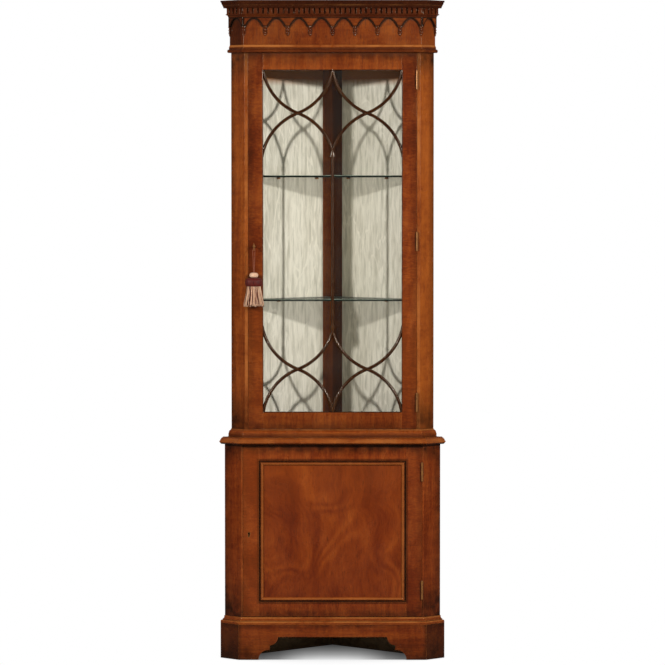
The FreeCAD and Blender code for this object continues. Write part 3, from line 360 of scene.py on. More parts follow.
def liningMaterial():
    material, tree, shader, coord = startMaterial("wateredLining")
    parts = addNode(tree, "SeparateXYZ", {"Vector": coord})
    drift = noise(tree, stretched(tree, coord, (9.0, 9.0, 1.6)), 1.0, 4.0, 0.6, 0.4)
    across = maths(tree, "MULTIPLY_ADD", drift, lining["drift"], parts.outputs["X"])
    rings = maths(tree, "MULTIPLY", wave(tree, across, lining["rings"]), 0.10)
    rings = maths(tree, "MULTIPLY_ADD", wave(tree, across, lining["fineRings"]), 0.07, rings)
    patches = noise(tree, stretched(tree, coord, (90.0, 90.0, 14.0)), 1.0, 3.0, 0.6, 0.5)
    bands = noise(tree, stretched(tree, coord, (7.0, 7.0, 0.9)), 1.0, 2.0, 0.5, 0.3)
    vein = noise(tree, stretched(tree, coord, (19.0, 19.0, 4.5)), 1.0, 3.0, 0.5, 0.4)
    vein = maths(tree, "ABSOLUTE", maths(tree, "SUBTRACT", vein, 0.5))
    water = maths(tree, "ADD", rings, 0.34)
    water = maths(tree, "MULTIPLY", water, mapRange(tree, patches, 0.36, 0.66))
    water = maths(tree, "MULTIPLY_ADD", mapRange(tree, bands, 0.3, 0.7), 0.26, water)
    shine = mapRange(tree, vein, *lining["veinHalf"], lining["veinShine"], 0.0)
    water = maths(tree, "SUBTRACT", water, shine)
    base = ramp(tree, water, [(0.05, lining["cream"]), (0.36, lining["shade"]),
                              (0.72, lining["mark"])])
    shadowLow, shadowHigh = (upperGlass[2] - drop for drop in lining["shadowDrops"])
    shadow = mapRange(tree, parts.outputs["Z"], shadowLow, shadowHigh)
    base = mixColour(tree, shadow, base, lining["deep"])
    # Painted shade in the corners by the post, where the occlusion is high
    near = occlusion(tree, lining["cornerReach"])
    near = mapRange(tree, near, 0.55, 0.25, 0.0, lining["cornerShare"])
    base = mixColour(tree, near, base, lining["deep"])
    ribs = wave(tree, parts.outputs["Z"], lining["ribs"])
    setInputs(tree, shader, {
        "Base Color": base,
        "Roughness": mapRange(tree, water, 0.0, 0.6, 0.55, 0.40),
        "Normal": bumped(tree, maths(tree, "MULTIPLY_ADD", ribs, 0.4, water), 0.2, 0.0002),
        "Specular IOR Level": lining["specular"],
    })
    return material


brass = {"bright": colour(176, 120, 66), "aged": colour(120, 74, 36), "dark": colour(40, 20, 10),
         "metal": 0.5, "spots": 140.0, "dirtAndShadeReach": 0.008, "dirtAndShadeShare": 0.85}


def brassMaterial():
    material, tree, shader, coord = startMaterial("agedBrass")
    spots = noise(tree, coord, brass["spots"], 4.0, 0.6)
    base = ramp(tree, spots, [(0.32, brass["aged"]), (0.62, brass["bright"])])
    # Darker in the hollows by occlusion: dirt there, and painted shade
    hidden = occlusion(tree, brass["dirtAndShadeReach"], 4)
    dirtAndShade = mapRange(tree, hidden, 0.7, 0.2, 0.0, brass["dirtAndShadeShare"])
    setInputs(tree, shader, {
        "Base Color": mixColour(tree, dirtAndShade, base, brass["dark"]),
        "Metallic": brass["metal"],
        "Roughness": mapRange(tree, spots, 0.3, 0.7, 0.38, 0.22),
        "Normal": bumped(tree, spots, 0.15, 0.0002),
    })
    return material


# Clear glass: nearly all light goes through the door, the shelves are tinted, and of a shelf's
# cut edges the front one is dark with a painted highlight along its top
glass = {
    "face": colour(226, 240, 232), "edge": colour(14, 20, 14), "bright": colour(150, 162, 142),
    "shelf": colour(176, 194, 180), "faceAlpha": 0.004, "shelfAlpha": 0.30, "edgeAlpha": 0.94,
    "brightFrom": 0.0052, "brightTo": 0.01, "smear": 0.004, "roughness": 0.03, "specular": 0.15,
}


def glassMaterial(name, edgeAxis, floors=()):
    material, tree, shader, coord = startMaterial(name)
    normal = addNode(tree, "TexCoord").outputs["Normal"]
    facing = addNode(tree, "SeparateXYZ", {"Vector": normal}).outputs
    height = addNode(tree, "SeparateXYZ", {"Vector": coord}).outputs["Z"]
    edge = mapRange(tree, maths(tree, "ABSOLUTE", facing[edgeAxis]), 0.5, 0.4)
    face, alpha = glass["face"], glass["faceAlpha"]
    if floors:
        front = mapRange(tree, facing["Y"], -0.3, -0.6, 0.05, 1.0)
        edge = maths(tree, "MULTIPLY", edge, front)
        face, alpha = glass["shelf"], glass["shelfAlpha"]
    rim = glass["edge"]
    # Painted highlight along the top of the shelf's front edge
    for floorZ in floors:
        top = pulse(tree, height, floorZ + glass["brightFrom"], floorZ + glass["brightTo"], 0.0004)
        rim = mixColour(tree, top, rim, glass["bright"])
    smear = mapRange(tree, noise(tree, coord, 9.0, 3.0), 0.4, 0.8, 0.0, glass["smear"])
    clear = mapRange(tree, edge, 0.0, 1.0, alpha, glass["edgeAlpha"])
    setInputs(tree, shader, {
        "Base Color": mixColour(tree, edge, face, rim),
        "Alpha": maths(tree, "ADD", clear, smear),
        "Roughness": glass["roughness"],
        "Specular IOR Level": glass["specular"],
    })
    return material


# Silk of the tassel: fine strands between two shades
silk = {
    "cream": (colour(190, 132, 98), colour(232, 200, 168)),
    "maroon": (colour(46, 8, 5), colour(104, 24, 12)),
    "cord": (colour(96, 46, 30), colour(150, 86, 60)),
    "strands": 900.0, "roughness": 0.55, "specular": 0.22, "sheen": 0.05,
}


def silkMaterial(name, shades, twist):
    material, tree, shader, coord = startMaterial(name)
    scale = (silk["strands"], silk["strands"], twist)
    strands = noise(tree, stretched(tree, coord, scale), 1.0, 2.0, 0.5)
    low, high = silk[shades]
    setInputs(tree, shader, {
        "Base Color": ramp(tree, strands, [(0.3, low), (0.7, high)]),
        "Roughness": silk["roughness"],
        "Specular IOR Level": silk["specular"],
        "Sheen Weight": silk["sheen"],
        "Normal": bumped(tree, strands, 0.3, 0.0003),
    })
    return material


# Boards that don't show at the front: each has its two shades
boards = {
    "back": (colour(70, 42, 24), colour(112, 72, 42)),
    "inside": (colour(46, 24, 14), colour(78, 42, 24)),
    "rail": (colour(150, 122, 90), colour(184, 156, 120)),
    "lines": (2.5, 60.0), "roughness": 0.62, "specular": 0.2,
}


def plainBoardMaterial(name, grain, shades):
    material, tree, shader, coord = startMaterial(name)
    lines = stretched(tree, coord, scaleAlong(grain, *boards["lines"]))
    lines = noise(tree, lines, 1.0, 5.0, 0.6, 0.7)
    low, high = boards[shades]
    setInputs(tree, shader, {
        "Base Color": ramp(tree, lines, [(0.3, low), (0.7, high)]),
        "Roughness": boards["roughness"],
        "Specular IOR Level": boards["specular"],
        "Normal": bumped(tree, lines, 0.3, 0.0004),
    })
    return material


def heights(node):
    low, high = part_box(node)
    return low.z, high.z


# Half the width, and the heights of the foot and the top
def area(node):
    return (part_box(node)[1].x, *heights(node))


def stripe(shade, near, far, strength, **more):
    return {"shade": shade, "near": near, "far": far, "strength": strength, **more}


# Rings lie round an area, measured outward from its edge
def ringRound(shade, edges, near, far, strength, **more):
    return stripe(shade, near, far, strength, half=edges[0], low=edges[1], high=edges[2], **more)


upperDoor = area("upper_door_stile_right")
lowerDoor = area("lower_door_stile_right")
upperGlass = area("upper_door_astragals")
panelMould = area("lower_panel_moulding")
upperPost = heights("upper_post_right")
basePost = heights("base_post_right")
upperFlat = upperDoor[0] + 0.0107   # where the front turns into the cants
baseFlat = lowerDoor[0] + 0.0055
beadLow, beadHigh = heights("frieze_bead_moulding")
friezeHigh = heights("frieze_boards")[1]
plinthLow, plinthHigh = heights("plinth_moulding")
waistLow, waistHigh = heights("waist_board")
beyond = 0.4   # further out than any edge

# Marks: shade, where it starts and ends in metres, strength
# Darker along the door's edges, glaze and painted shade at the gap; painted shade round the glass,
# painted shadow under the frieze at the top, darker at the foot, and painted shade on the left
# stile
upperDoorMarks = [
    ringRound("glazeAndShade", upperDoor, -0.012, 0.002, 0.5, soft=0.010),
    ringRound("glazeAndShade", upperGlass, -0.002, 0.0022, 0.9, even=True),
    stripe("glazeAndShade", upperDoor[2] - 0.03, upperDoor[2] + 0.01, 0.45, soft=0.02),
    stripe("glazeAndShade", upperDoor[1] - 0.01, upperDoor[1] + 0.022, 0.24, soft=0.02),
    stripe("glazeAndShade", upperGlass[0], beyond, 0.10, side=-1.0, even=True),
]
upperStileMarks = [
    stripe("light", upperDoor[1] + 0.08, upperDoor[1] + 0.42, 0.12, soft=0.10, even=True),
    stripe("glazeAndShade", upperDoor[2] - 0.34, upperDoor[2] + 0.20, 0.07, soft=0.10, even=True),
]
upperRailMarks = [
    stripe("glazeAndShade", upperDoor[1] - 0.01, upperDoor[1] + 0.05, 0.14, soft=0.004, even=True),
]
# Darker along the door's edges, glaze and painted shade at the gap; painted shadow in the groove
# round the panel moulding and under the waist board at the top, darker at the foot, painted shade
# on the right stile and painted light on the left
lowerDoorMarks = [
    ringRound("glazeAndShade", lowerDoor, -0.010, 0.002, 0.45, soft=0.010),
    ringRound("glazeAndShade", panelMould, -0.001, 0.0050, 0.60, soft=0.002, even=True),
    stripe("glazeAndShade", lowerDoor[2] - 0.022, lowerDoor[2] + 0.01, 0.75, soft=0.010),
    stripe("glazeAndShade", lowerDoor[1] - 0.01, lowerDoor[1] + 0.02, 0.60, soft=0.02),
    stripe("glazeAndShade", panelMould[0], beyond, 0.10, side=1.0, even=True),
    stripe("light", panelMould[0], beyond, 0.14, side=-1.0, even=True),
]
# Tan strip on the narrow front face, painted light on the cants (more on the right), painted shadow
# under the frieze at the top, darker at the foot and towards the back of each cant
upperPostMarks = [
    stripe("tan", upperDoor[0] + 0.0014, upperFlat - 0.0008, 0.44, across=True),
    stripe("light", upperFlat + 0.001, beyond, 0.50, side=1.0, soft=0.004),
    stripe("light", upperFlat + 0.001, beyond, 0.12, side=-1.0, soft=0.004, even=True),
    stripe("glazeAndShade", upperPost[1] - 0.05, upperPost[1] + 0.01, 0.85, soft=0.03),
    stripe("glazeAndShade", upperPost[0] - 0.01, upperPost[0] + 0.10, 0.75, soft=0.05),
    stripe("glazeAndShade", upperFlat + 0.030, upperFlat + 0.05, 0.6, across=True, soft=0.008),
]
# Tan strip on the left narrow front face, painted shadow under the waist board at the top, darker
# at the foot and towards the back of each cant, and painted shade on the right cant
basePostMarks = [
    stripe("tan", lowerDoor[0] + 0.0010, baseFlat - 0.0002, 0.22, side=-1.0),
    stripe("glazeAndShade", basePost[1] - 0.035, basePost[1] + 0.01, 0.85, soft=0.020),
    stripe("glazeAndShade", basePost[0] - 0.01, basePost[0] + 0.09, 0.94, soft=0.05),
    stripe("glazeAndShade", baseFlat + 0.036, baseFlat + 0.06, 0.6, across=True, soft=0.010),
    stripe("glazeAndShade", baseFlat, beyond, 0.06, side=1.0, even=True),
]
panelMarks = [
    ringRound("glazeAndShade", panelMould, -0.030, -0.016, 0.12, soft=0.012),
    stripe("light", 0.47, 0.66, 0.13, soft=0.06, even=True),
]
# Painted shadow in the groove at the moulding's outer edge, and a painted highlight along its bead
panelBeadMarks = [
    ringRound("glazeAndShade", panelMould, -0.0062, 0.002, 0.80, soft=0.0014, even=True),
    ringRound("tan", panelMould, -0.0125, -0.0080, 0.36, soft=0.0016, even=True),
]
# A painted highlight on the sloped top of the bead moulding, and painted shade below it
friezeBeadMarks = [
    stripe("tan", beadHigh - 0.0056, beadHigh + 0.002, 0.70),
    stripe("glazeAndShade", beadLow - 0.001, beadHigh - 0.0066, 0.50, even=True),
]
# Painted shade along the board's lower edge, tan along its nose, and a dark joint at its top
waistMarks = [
    stripe("glazeAndShade", waistLow - 0.001, waistLow + 0.004, 0.9, even=True),
    stripe("tan", waistLow + 0.006, waistHigh - 0.004, 0.34),
    stripe("glazeAndShade", waistHigh - 0.002, waistHigh + 0.002, 0.5),
]
# A painted highlight along the top of the moulding
waistMouldMarks = [stripe("tan", waistHigh + 0.0185, waistHigh + 0.024, 0.6)]
# Painted highlights along the two rounds of the moulding
plinthMouldMarks = [
    stripe("tan", plinthHigh - 0.0045, plinthHigh + 0.001, 0.55),
    stripe("tan", plinthLow + 0.0050, plinthLow + 0.0100, 0.55),
]
# Darker on the cants and towards the floor, and painted shade under the moulding
plinthMarks = [
    stripe("glazeAndShade", baseFlat + 0.002, beyond, 0.60, across=True, soft=0.006, even=True),
    stripe("glazeAndShade", -0.01, 0.045, 0.74, soft=0.03),
    stripe("glazeAndShade", plinthLow - 0.010, plinthLow + 0.01, 0.5, soft=0.006),
]
# Painted shade on the left cant and painted light on the right cant; darker towards the ends of the
# front, most on the left
fretMarks = [
    stripe("glazeAndShade", upperFlat + 0.006, beyond, 0.60, side=-1.0, soft=0.008, even=True),
    stripe("light", upperFlat + 0.006, beyond, 0.18, side=1.0, soft=0.008, even=True),
    stripe("glazeAndShade", 0.09, upperFlat, 0.12, side=-1.0, soft=0.03, even=True),
    stripe("glazeAndShade", 0.12, upperFlat, 0.05, side=1.0, soft=0.03, even=True),
]
# Painted shadow under the cornice at the top of the frieze, then the marks of the fret
friezeMarks = [
    stripe("glazeAndShade", friezeHigh - 0.026, friezeHigh + 0.01, 0.5, soft=0.004, even=True),
    *fretMarks,
]
# A painted highlight along the lower edge of the cornice
corniceMarks = [stripe("tan", friezeHigh + 0.0065, friezeHigh + 0.0095, 0.9)]
# Painted shade on the right half, which faces the weaker lamp, and towards the top, under the top
# board
cornerPostMarks = [
    stripe("glazeAndShade", 0.0, beyond, 0.55, side=1.0, soft=0.003, even=True),
    stripe("glazeAndShade", upperGlass[2] - 0.20, upperGlass[2] + 0.10, 0.40, soft=0.06, even=True),
]
brassMetal = brassMaterial()
shelves = ["glass_shelf_upper", "glass_shelf_lower"]

# One finish for each group of nodes that share a grain
finishes = [
    (woodMaterial("canteds", "Z", 0.02, 1.3, marks=upperPostMarks, calm=1.0),
     ["upper_post_left", "upper_post_right", "upper_door_stops"]),
    (woodMaterial("baseCanteds", "Z", 0.0, 2.1, marks=basePostMarks, cast=wood["redder"]),
     ["base_post_left", "base_post_right", "base_door_stops"]),
    (woodMaterial("upperStiles", "X", -0.035, 3.4, marks=upperDoorMarks + upperStileMarks, calm=1.0,
                  mottle=0.30),
     ["upper_door_stile_left", "upper_door_stile_right"]),
    (woodMaterial("upperRails", "Z", 0.02, 4.2, marks=upperDoorMarks + upperRailMarks),
     ["upper_door_rail_top", "upper_door_rail_bottom"]),
    (woodMaterial("lowerStiles", "X", -0.03, 5.7, marks=lowerDoorMarks, calm=0.8, mottle=0.30,
                  cast=wood["redder"]),
     ["lower_door_stile_left", "lower_door_stile_right"]),
    (woodMaterial("lowerRails", "Z", 0.0, 6.6, marks=lowerDoorMarks, cast=wood["redder"]),
     ["lower_door_rail_top", "lower_door_rail_bottom"]),
    (woodMaterial("crotchPanel", "Z", -0.02, 7.9, figure=crotchFigure, marks=panelMarks, glazeAndShade=0.3,
                  calm=0.85, cast=wood["redder"]),
     ["lower_door_panel"]),
    (woodMaterial("panelBead", "X", 0.0, 8.8, marks=panelBeadMarks, glazeAndShade=0.2, wearAndGlint=1.2),
     ["lower_panel_moulding"]),
    (woodMaterial("waistBoardWood", "X", 0.02, 9.1, marks=waistMarks, wearAndGlint=1.3), ["waist_board"]),
    (woodMaterial("waistMouldWood", "X", 0.0, 9.6, marks=waistMouldMarks, wearAndGlint=1.3),
     ["upper_base_moulding"]),
    (woodMaterial("plinthMouldWood", "X", 0.0, 10.1, marks=plinthMouldMarks, wearAndGlint=1.3),
     ["plinth_moulding"]),
    (woodMaterial("friezeBeadWood", "X", 0.0, 10.9, marks=friezeBeadMarks, wearAndGlint=1.3),
     ["frieze_bead_moulding"]),
    (woodMaterial("plinthBoards", "X", -0.02, 10.4, marks=plinthMarks),
     ["plinth_front", "plinth_return_left", "plinth_return_right"]),
    (woodMaterial("friezeBoards", "Z", 0.0, 11.2, marks=friezeMarks, glazeAndShade=1.9, depth=0.82,
                  calm=0.8, mottle=0.25),
     ["frieze_boards"]),
    (woodMaterial("fretWood", "X", -0.02, 12.5, marks=fretMarks, glazeAndShade=0.4, depth=0.74, rim=0.0055),
     ["arcade_fret"]),
    (woodMaterial("dentilWood", "X", -0.05, 13.1, glazeAndShade=0.2, wearAndGlint=0.7, depth=0.46),
     ["dentil_moulding"]),
    (woodMaterial("corniceWood", "X", -0.06, 13.8, marks=corniceMarks, wearAndGlint=0.8, depth=0.24),
     ["cornice_moulding"]),
    (woodMaterial("cornerPostWood", "Z", 0.12, 14.3, marks=cornerPostMarks, glazeAndShade=0.4, polish=0.15),
     ["back_corner_post"]),
    (woodMaterial("glazingBeads", "Z", -0.08, 15.5, depth=0.8), ["upper_door_glazing_beads"]),
    (plainBoardMaterial("stainedInside", "X", "inside"),
     ["base_bottom_board", "upper_bottom_board", "upper_top_board", "base_shelf"]),
    (plainBoardMaterial("backBoard", "Z", "back"),
     ["upper_wall_panel_left", "upper_wall_panel_right", "base_wall_panel_left",
      "base_wall_panel_right", "dust_board"]),
    (plainBoardMaterial("railPine", "X", "rail"), ["plinth_rail_left", "plinth_rail_right"]),
    (liningMaterial(), ["lining_left", "lining_right"]),
    (glassMaterial("doorGlass", "Y"), ["upper_door_glass"]),
    (glassMaterial("shelfGlass", "Z", [heights(shelf)[0] for shelf in shelves]), shelves),
    (brassMetal, ["shelf_pegs", "strike_plates", "hinge_case_leaves", "upper_hinge_door_leaves",
                  "lower_hinge_door_leaves", "upper_lock_case", "lower_lock_case",
                  "upper_lock_bolt", "lower_lock_bolt", "upper_escutcheon", "lower_escutcheon"]),
]


def setFinish(item, material):
    item.data.materials.clear()
    item.data.materials.append(material)


for material, names in finishes:
    for name in names:
        setFinish(nodes[name], material)
print("finishes set on", sum(len(names) for material, names in finishes), "nodes")


def meshData(name, mesh, material):
    data = bpy.data.meshes.new(name)
    mesh.to_mesh(data)
    mesh.free()
    data.materials.append(material)
    return data


def finishPiece(name, mesh, material, body, slotName, *replaced, sharp=35.0):
    bmesh.ops.recalc_face_normals(mesh, faces=mesh.faces)
    item = addObject(name, meshData(name, mesh, material))
    for face in item.data.polygons:
        face.use_smooth = True
    item.data.set_sharp_from_angle(angle=math.radians(sharp))
    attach(item, body)
    if replaced:
        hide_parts(*replaced)


def mergePoints(mesh):
    bmesh.ops.remove_doubles(mesh, verts=mesh.verts, dist=0.00001)


def onlyPoints(parts):
    return [part for part in parts if isinstance(part, bmesh.types.BMVert)]


def spun(mesh, shape, centre, axis, degrees, steps):
    bmesh.ops.spin(mesh, geom=shape, cent=centre, axis=axis, dvec=(0.0, 0.0, 0.0),
                   angle=math.radians(degrees), steps=steps, use_merge=degrees == 360.0,
                   use_duplicate=False)


# A closed section, given as points, swept part of the way round an axis, with its end faces
def spunSection(mesh, points, centre, axis, degrees, steps):
    face = mesh.faces.new([mesh.verts.new(point) for point in points])
    spun(mesh, [face, *face.edges, *face.verts], centre, axis, degrees, steps)


# A line of points turned full circle, with no face left inside
def spunLine(mesh, points, centre, axis, steps):
    verts = [mesh.verts.new(point) for point in points]
    edges = [mesh.edges.new(pair) for pair in zip(verts, verts[1:])]
    spun(mesh, verts + edges, centre, axis, 360.0, steps)


# Glazing bars: an astragal between two fillets, standing on the glass
bars = {
    "half": 0.00475, "edge": 0.0020, "fillet": 0.0034, "bead": 0.0025, "depth": 0.0070,
    "innerRise": 0.125, "outerRise": 0.111, "slopeDeg": 21.0, "overrunDeg": 6.0, "steps": 28,
    "beadSteps": 6,
}


# Section as (across, forward from the glass)
def barSection():
    neck = bars["depth"] - bars["bead"]
    right = [(bars["half"], 0.0), (bars["half"], bars["edge"]), (bars["fillet"], bars["edge"]),
             (bars["bead"], neck)]
    crown = []
    for i in range(1, bars["beadSteps"]):
        angle = math.pi * i / bars["beadSteps"]
        crown.append((bars["bead"] * math.cos(angle), neck + bars["bead"] * math.sin(angle)))
    left = [(-across, forward) for across, forward in reversed(right)]
    return right + crown + left


# From the crossing of two bars, rising more and more steeply to the end
def curvedBar(mesh, crossX, crossZ, endX, endZ, glassY):
    run = endX - crossX
    rise = endZ - crossZ
    slope = math.radians(bars["slopeDeg"])
    halfTurn = math.atan2(abs(rise), abs(run)) - slope
    radius = math.hypot(run, rise) / (2 * math.sin(halfTurn))
    lean = math.copysign(1.0, run)
    side = math.copysign(1.0, rise)
    outX = lean * math.sin(slope)
    outZ = -side * math.cos(slope)
    centre = Vector((crossX - outX * radius, glassY, crossZ - outZ * radius))
    points = [(centre.x + outX * (radius + across), glassY - forward,
               centre.z + outZ * (radius + across)) for across, forward in barSection()]
    turn = math.degrees(2 * halfTurn) + bars["overrunDeg"]
    spunSection(mesh, points, centre, (0.0, 1.0, 0.0), -lean * side * turn, bars["steps"])


def straightBar(mesh, lowZ, highZ, glassY):
    points = [(across, glassY - forward, lowZ) for across, forward in barSection()]
    face = mesh.faces.new([mesh.verts.new(point) for point in points])
    grown = bmesh.ops.extrude_face_region(mesh, geom=[face])["geom"]
    bmesh.ops.translate(mesh, vec=(0.0, 0.0, highZ - lowZ), verts=onlyPoints(grown))


def glazingBars():
    low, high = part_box("upper_door_astragals")
    half = high.x
    mesh = bmesh.new()
    for rail, up in ((high.z, 1.0), (low.z, -1.0)):
        crossZ = rail - up * bars["innerRise"]
        footZ = crossZ - up * bars["outerRise"]
        for bay in (-half / 2, half / 2):
            for endX in (bay - half / 2, bay + half / 2):
                curvedBar(mesh, bay, crossZ, endX, rail, high.y)
                curvedBar(mesh, bay, crossZ, endX, footZ, high.y)
    reach = bars["innerRise"] + bars["outerRise"] - bars["half"] * 2
    straightBar(mesh, low.z + reach, high.z - reach, high.y)
    material = woodMaterial("barWood", "Z", -0.06, 16.1, glazeAndShade=0.7, wearAndGlint=1.4, depth=0.30,
                            cast=(0.85, 1.20, 1.10))
    finishPiece("glazingBars", mesh, material, "upper_door", "mahogany_dark",
                "upper_door_astragals")


glazingBars()
print("glazing bars made")


# Turned drops under the arcade: taper, neck, two beads and a finial, spun smooth
drops = {
    "top": 0.0070, "lip": 0.0012, "shoulder": 0.0018, "shoulderShare": 0.82, "taper": 0.0055,
    "neck": 0.0032, "bead": 0.0055, "beadHeight": 0.0080, "beads": 2, "swell": 0.0014,
    "length": 0.028, "count": 9, "arris": 0.26234, "cornerX": 0.25994, "steps": 20,
}


# Profile as (radius, height from the top), from the middle of the top to the tip
def dropProfile():
    neck = drops["neck"]
    shoulder = drops["top"] * drops["shoulderShare"]
    points = [(0.0, 0.0), (drops["top"], 0.0), (drops["top"], -drops["lip"]),
              (shoulder, -drops["shoulder"])]
    for i in range(1, 5):
        share = i / 5
        radius = shoulder + (neck - shoulder) * math.sin(share * math.pi / 2)
        points.append((radius, -drops["shoulder"] - (drops["taper"] - drops["shoulder"]) * share))
    height = -drops["taper"]
    for bead in range(drops["beads"]):
        for i in range(7):
            radius = neck + (drops["bead"] - neck) * math.sin(math.pi * i / 6)
            points.append((radius, height - drops["beadHeight"] * i / 6))
        height -= drops["beadHeight"]
    tip = drops["length"] + height
    for i in range(1, 6):
        radius = neck * (1 - i / 6) + drops["swell"] * math.sin(math.pi * i / 6)
        points.append((radius, height - tip * i / 6))
    points.append((0.0, -drops["length"]))
    return points


def turnedDrop(mesh, x, y, z, startDeg, turnDeg):
    start = math.radians(startDeg)
    points = [(x + radius * math.cos(start), y + radius * math.sin(start), z + down)
              for radius, down in dropProfile()]
    spunSection(mesh, points, (x, y, z), (0.0, 0.0, 1.0), turnDeg, drops["steps"])


# Half drops along the front, more than half round the arrises, and quarters at the walls
def fretDrops():
    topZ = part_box("fret_drops")[1].z
    low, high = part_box("frieze_boards")
    frontY = low.y
    wallX = high.x
    wallY = frontY + wallX - drops["cornerX"]
    mesh = bmesh.new()
    span = 2 * drops["arris"] / (drops["count"] - 1)
    for i in range(1, drops["count"] - 1):
        turnedDrop(mesh, i * span - drops["arris"], frontY, topZ, 180.0, 180.0)
    turnedDrop(mesh, drops["cornerX"], frontY, topZ, 180.0, 225.0)
    turnedDrop(mesh, -drops["cornerX"], frontY, topZ, 135.0, 225.0)
    turnedDrop(mesh, wallX, wallY, topZ, 225.0, 90.0)
    turnedDrop(mesh, -wallX, wallY, topZ, 225.0, 90.0)
    mergePoints(mesh)
    material = woodMaterial("dropWood", "Z", -0.06, 17.3, glazeAndShade=0.8, wearAndGlint=2.2, depth=0.55,
                            polish=1.1)
    finishPiece("turnedDrops", mesh, material, "cabinet", "mahogany", "fret_drops")


fretDrops()
print("turned drops made")


# Key: a ring bow of round wire, a turned collar and shank, and a cut bit
key = {
    "x": -0.230, "z": 1.211, "bowY": -0.17105, "bow": 0.0085, "wire": 0.0016, "wireSides": 10,
    "bowSteps": 48, "neck": 0.0019, "button": 0.0024, "collar": 0.0036, "collarRim": 0.0034,
    "collarOut": 0.005, "shank": 0.0025, "shankSteps": 20, "tipY": -0.12495,
    "bitY": -0.12905, "bitWidth": 0.0046, "bitLength": 0.0085, "bitHalf": 0.0010,
}


# Profile as (Y, radius), from the bow to the tip inside the lock
def shankProfile():
    start = key["bowY"] + key["bow"] - key["wire"] / 2
    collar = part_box("upper_door_stile_left")[0].y - key["collarOut"]
    return [
        (start, 0.0), (start, key["button"]), (start + 0.002, key["button"]),
        (start + 0.0026, key["neck"]), (collar, key["neck"]), (collar + 0.0004, key["collarRim"]),
        (collar + 0.0012, key["collar"]), (collar + 0.0024, key["collarRim"]),
        (collar + 0.003, 0.0022), (key["tipY"] - 0.0006, key["shank"] - 0.0003),
        (key["tipY"], key["shank"] - 0.0010), (key["tipY"], 0.0),
    ]


def makeKey():
    x, z = key["x"], key["z"]
    mesh = bmesh.new()
    ring = []
    for i in range(key["wireSides"] + 1):
        angle = 2 * math.pi * i / key["wireSides"]
        ring.append((x + key["wire"] * math.cos(angle),
                     key["bowY"] + key["bow"] + key["wire"] * math.sin(angle), z))
    spunLine(mesh, ring, (x, key["bowY"], z), (1.0, 0.0, 0.0), key["bowSteps"])
    shank = [(x + radius, y, z) for y, radius in shankProfile()]
    spunLine(mesh, shank, (x, 0.0, z), (0.0, 1.0, 0.0), key["shankSteps"])
    mergePoints(mesh)
    bit = bmesh.ops.create_cube(mesh, size=1.0)["verts"]
    size = (key["bitHalf"] * 2, key["bitWidth"], key["bitLength"])
    bmesh.ops.scale(mesh, vec=size, verts=bit)
    bmesh.ops.translate(mesh, vec=(x, key["bitY"] + size[1] / 2, z - size[2] / 2), verts=bit)
    finishPiece("turnedKey", mesh, brassMetal, "upper_key_body", "brass", "upper_key")


makeKey()
print("key made")


# Tassel: silk-wound bead and head, and a skirt of threads
tassel = {
    "x": -0.230, "y": -0.17105, "depth": 0.73, "beadEnd": 0.004, "beadRibs": 30, "headRibs": 44,
    "headFoot": 0.82, "headTop": 0.42, "ribDepth": 0.0004, "levels": 12, "threads": 300,
    "rings": (1.0, 0.97, 0.92, 0.84, 0.66, 0.42), "darkShare": 0.22, "threadRadius": 0.0008,
    "threadSteps": 6, "skirtTop": 0.0185, "skirtInset": 0.001, "tuck": 0.003,
}


# Rounded body wound with threads: levels are (half width, height), ribbed all round
def woundBody(name, levels, depth, ribs, material, slotName, replaced):
    mesh = bmesh.new()
    around = ribs * 6
    edges = []
    for half, z in levels:
        ring = []
        for i in range(around):
            angle = 2 * math.pi * i / around
            radius = half - tassel["ribDepth"] * (1 - abs(math.cos(angle * ribs / 2)))
            ring.append(mesh.verts.new((tassel["x"] + radius * math.cos(angle),
                                        tassel["y"] + radius * depth * math.sin(angle), z)))
        edges.append([mesh.edges.new((ring[i - 1], ring[i])) for i in range(around)])
    for low, high in zip(edges, edges[1:]):
        bmesh.ops.bridge_loops(mesh, edges=low + high)
    bmesh.ops.holes_fill(mesh, edges=edges[0] + edges[-1], sides=around)
    finishPiece(name, mesh, material, "tassel", slotName, replaced, sharp=60.0)


# Levels of a rounded body between two heights, with a foot and a top of their own half widths
def roundLevels(low, high, half, foot, top):
    levels = []
    for i in range(tassel["levels"] + 1):
        angle = math.pi * i / tassel["levels"]
        end = foot if angle < math.pi / 2 else top
        levels.append((end + (half - end) * math.sin(angle) ** 0.8,
                       low + (high - low) * (1 - math.cos(angle)) / 2))
    return levels


# Where a thread has come to at a step: it hangs from under the head and spreads out
def threadPlace(thread, step, low, high):
    angle, share, length, sway = thread
    down = step / tassel["threadSteps"]
    topHalf = tassel["skirtTop"]
    lowHalf = (high.x - low.x) / 2 - tassel["skirtInset"]
    spread = share * (topHalf + (lowHalf - topHalf) * down ** 1.2)
    turn = angle + sway * math.sin(down * 3.0)
    z = high.z - (high.z - low.z) * length * down + tassel["tuck"] * (1 - down)
    return Vector((tassel["x"] + spread * math.cos(turn),
                   tassel["y"] + spread * tassel["depth"] * math.sin(turn), z))


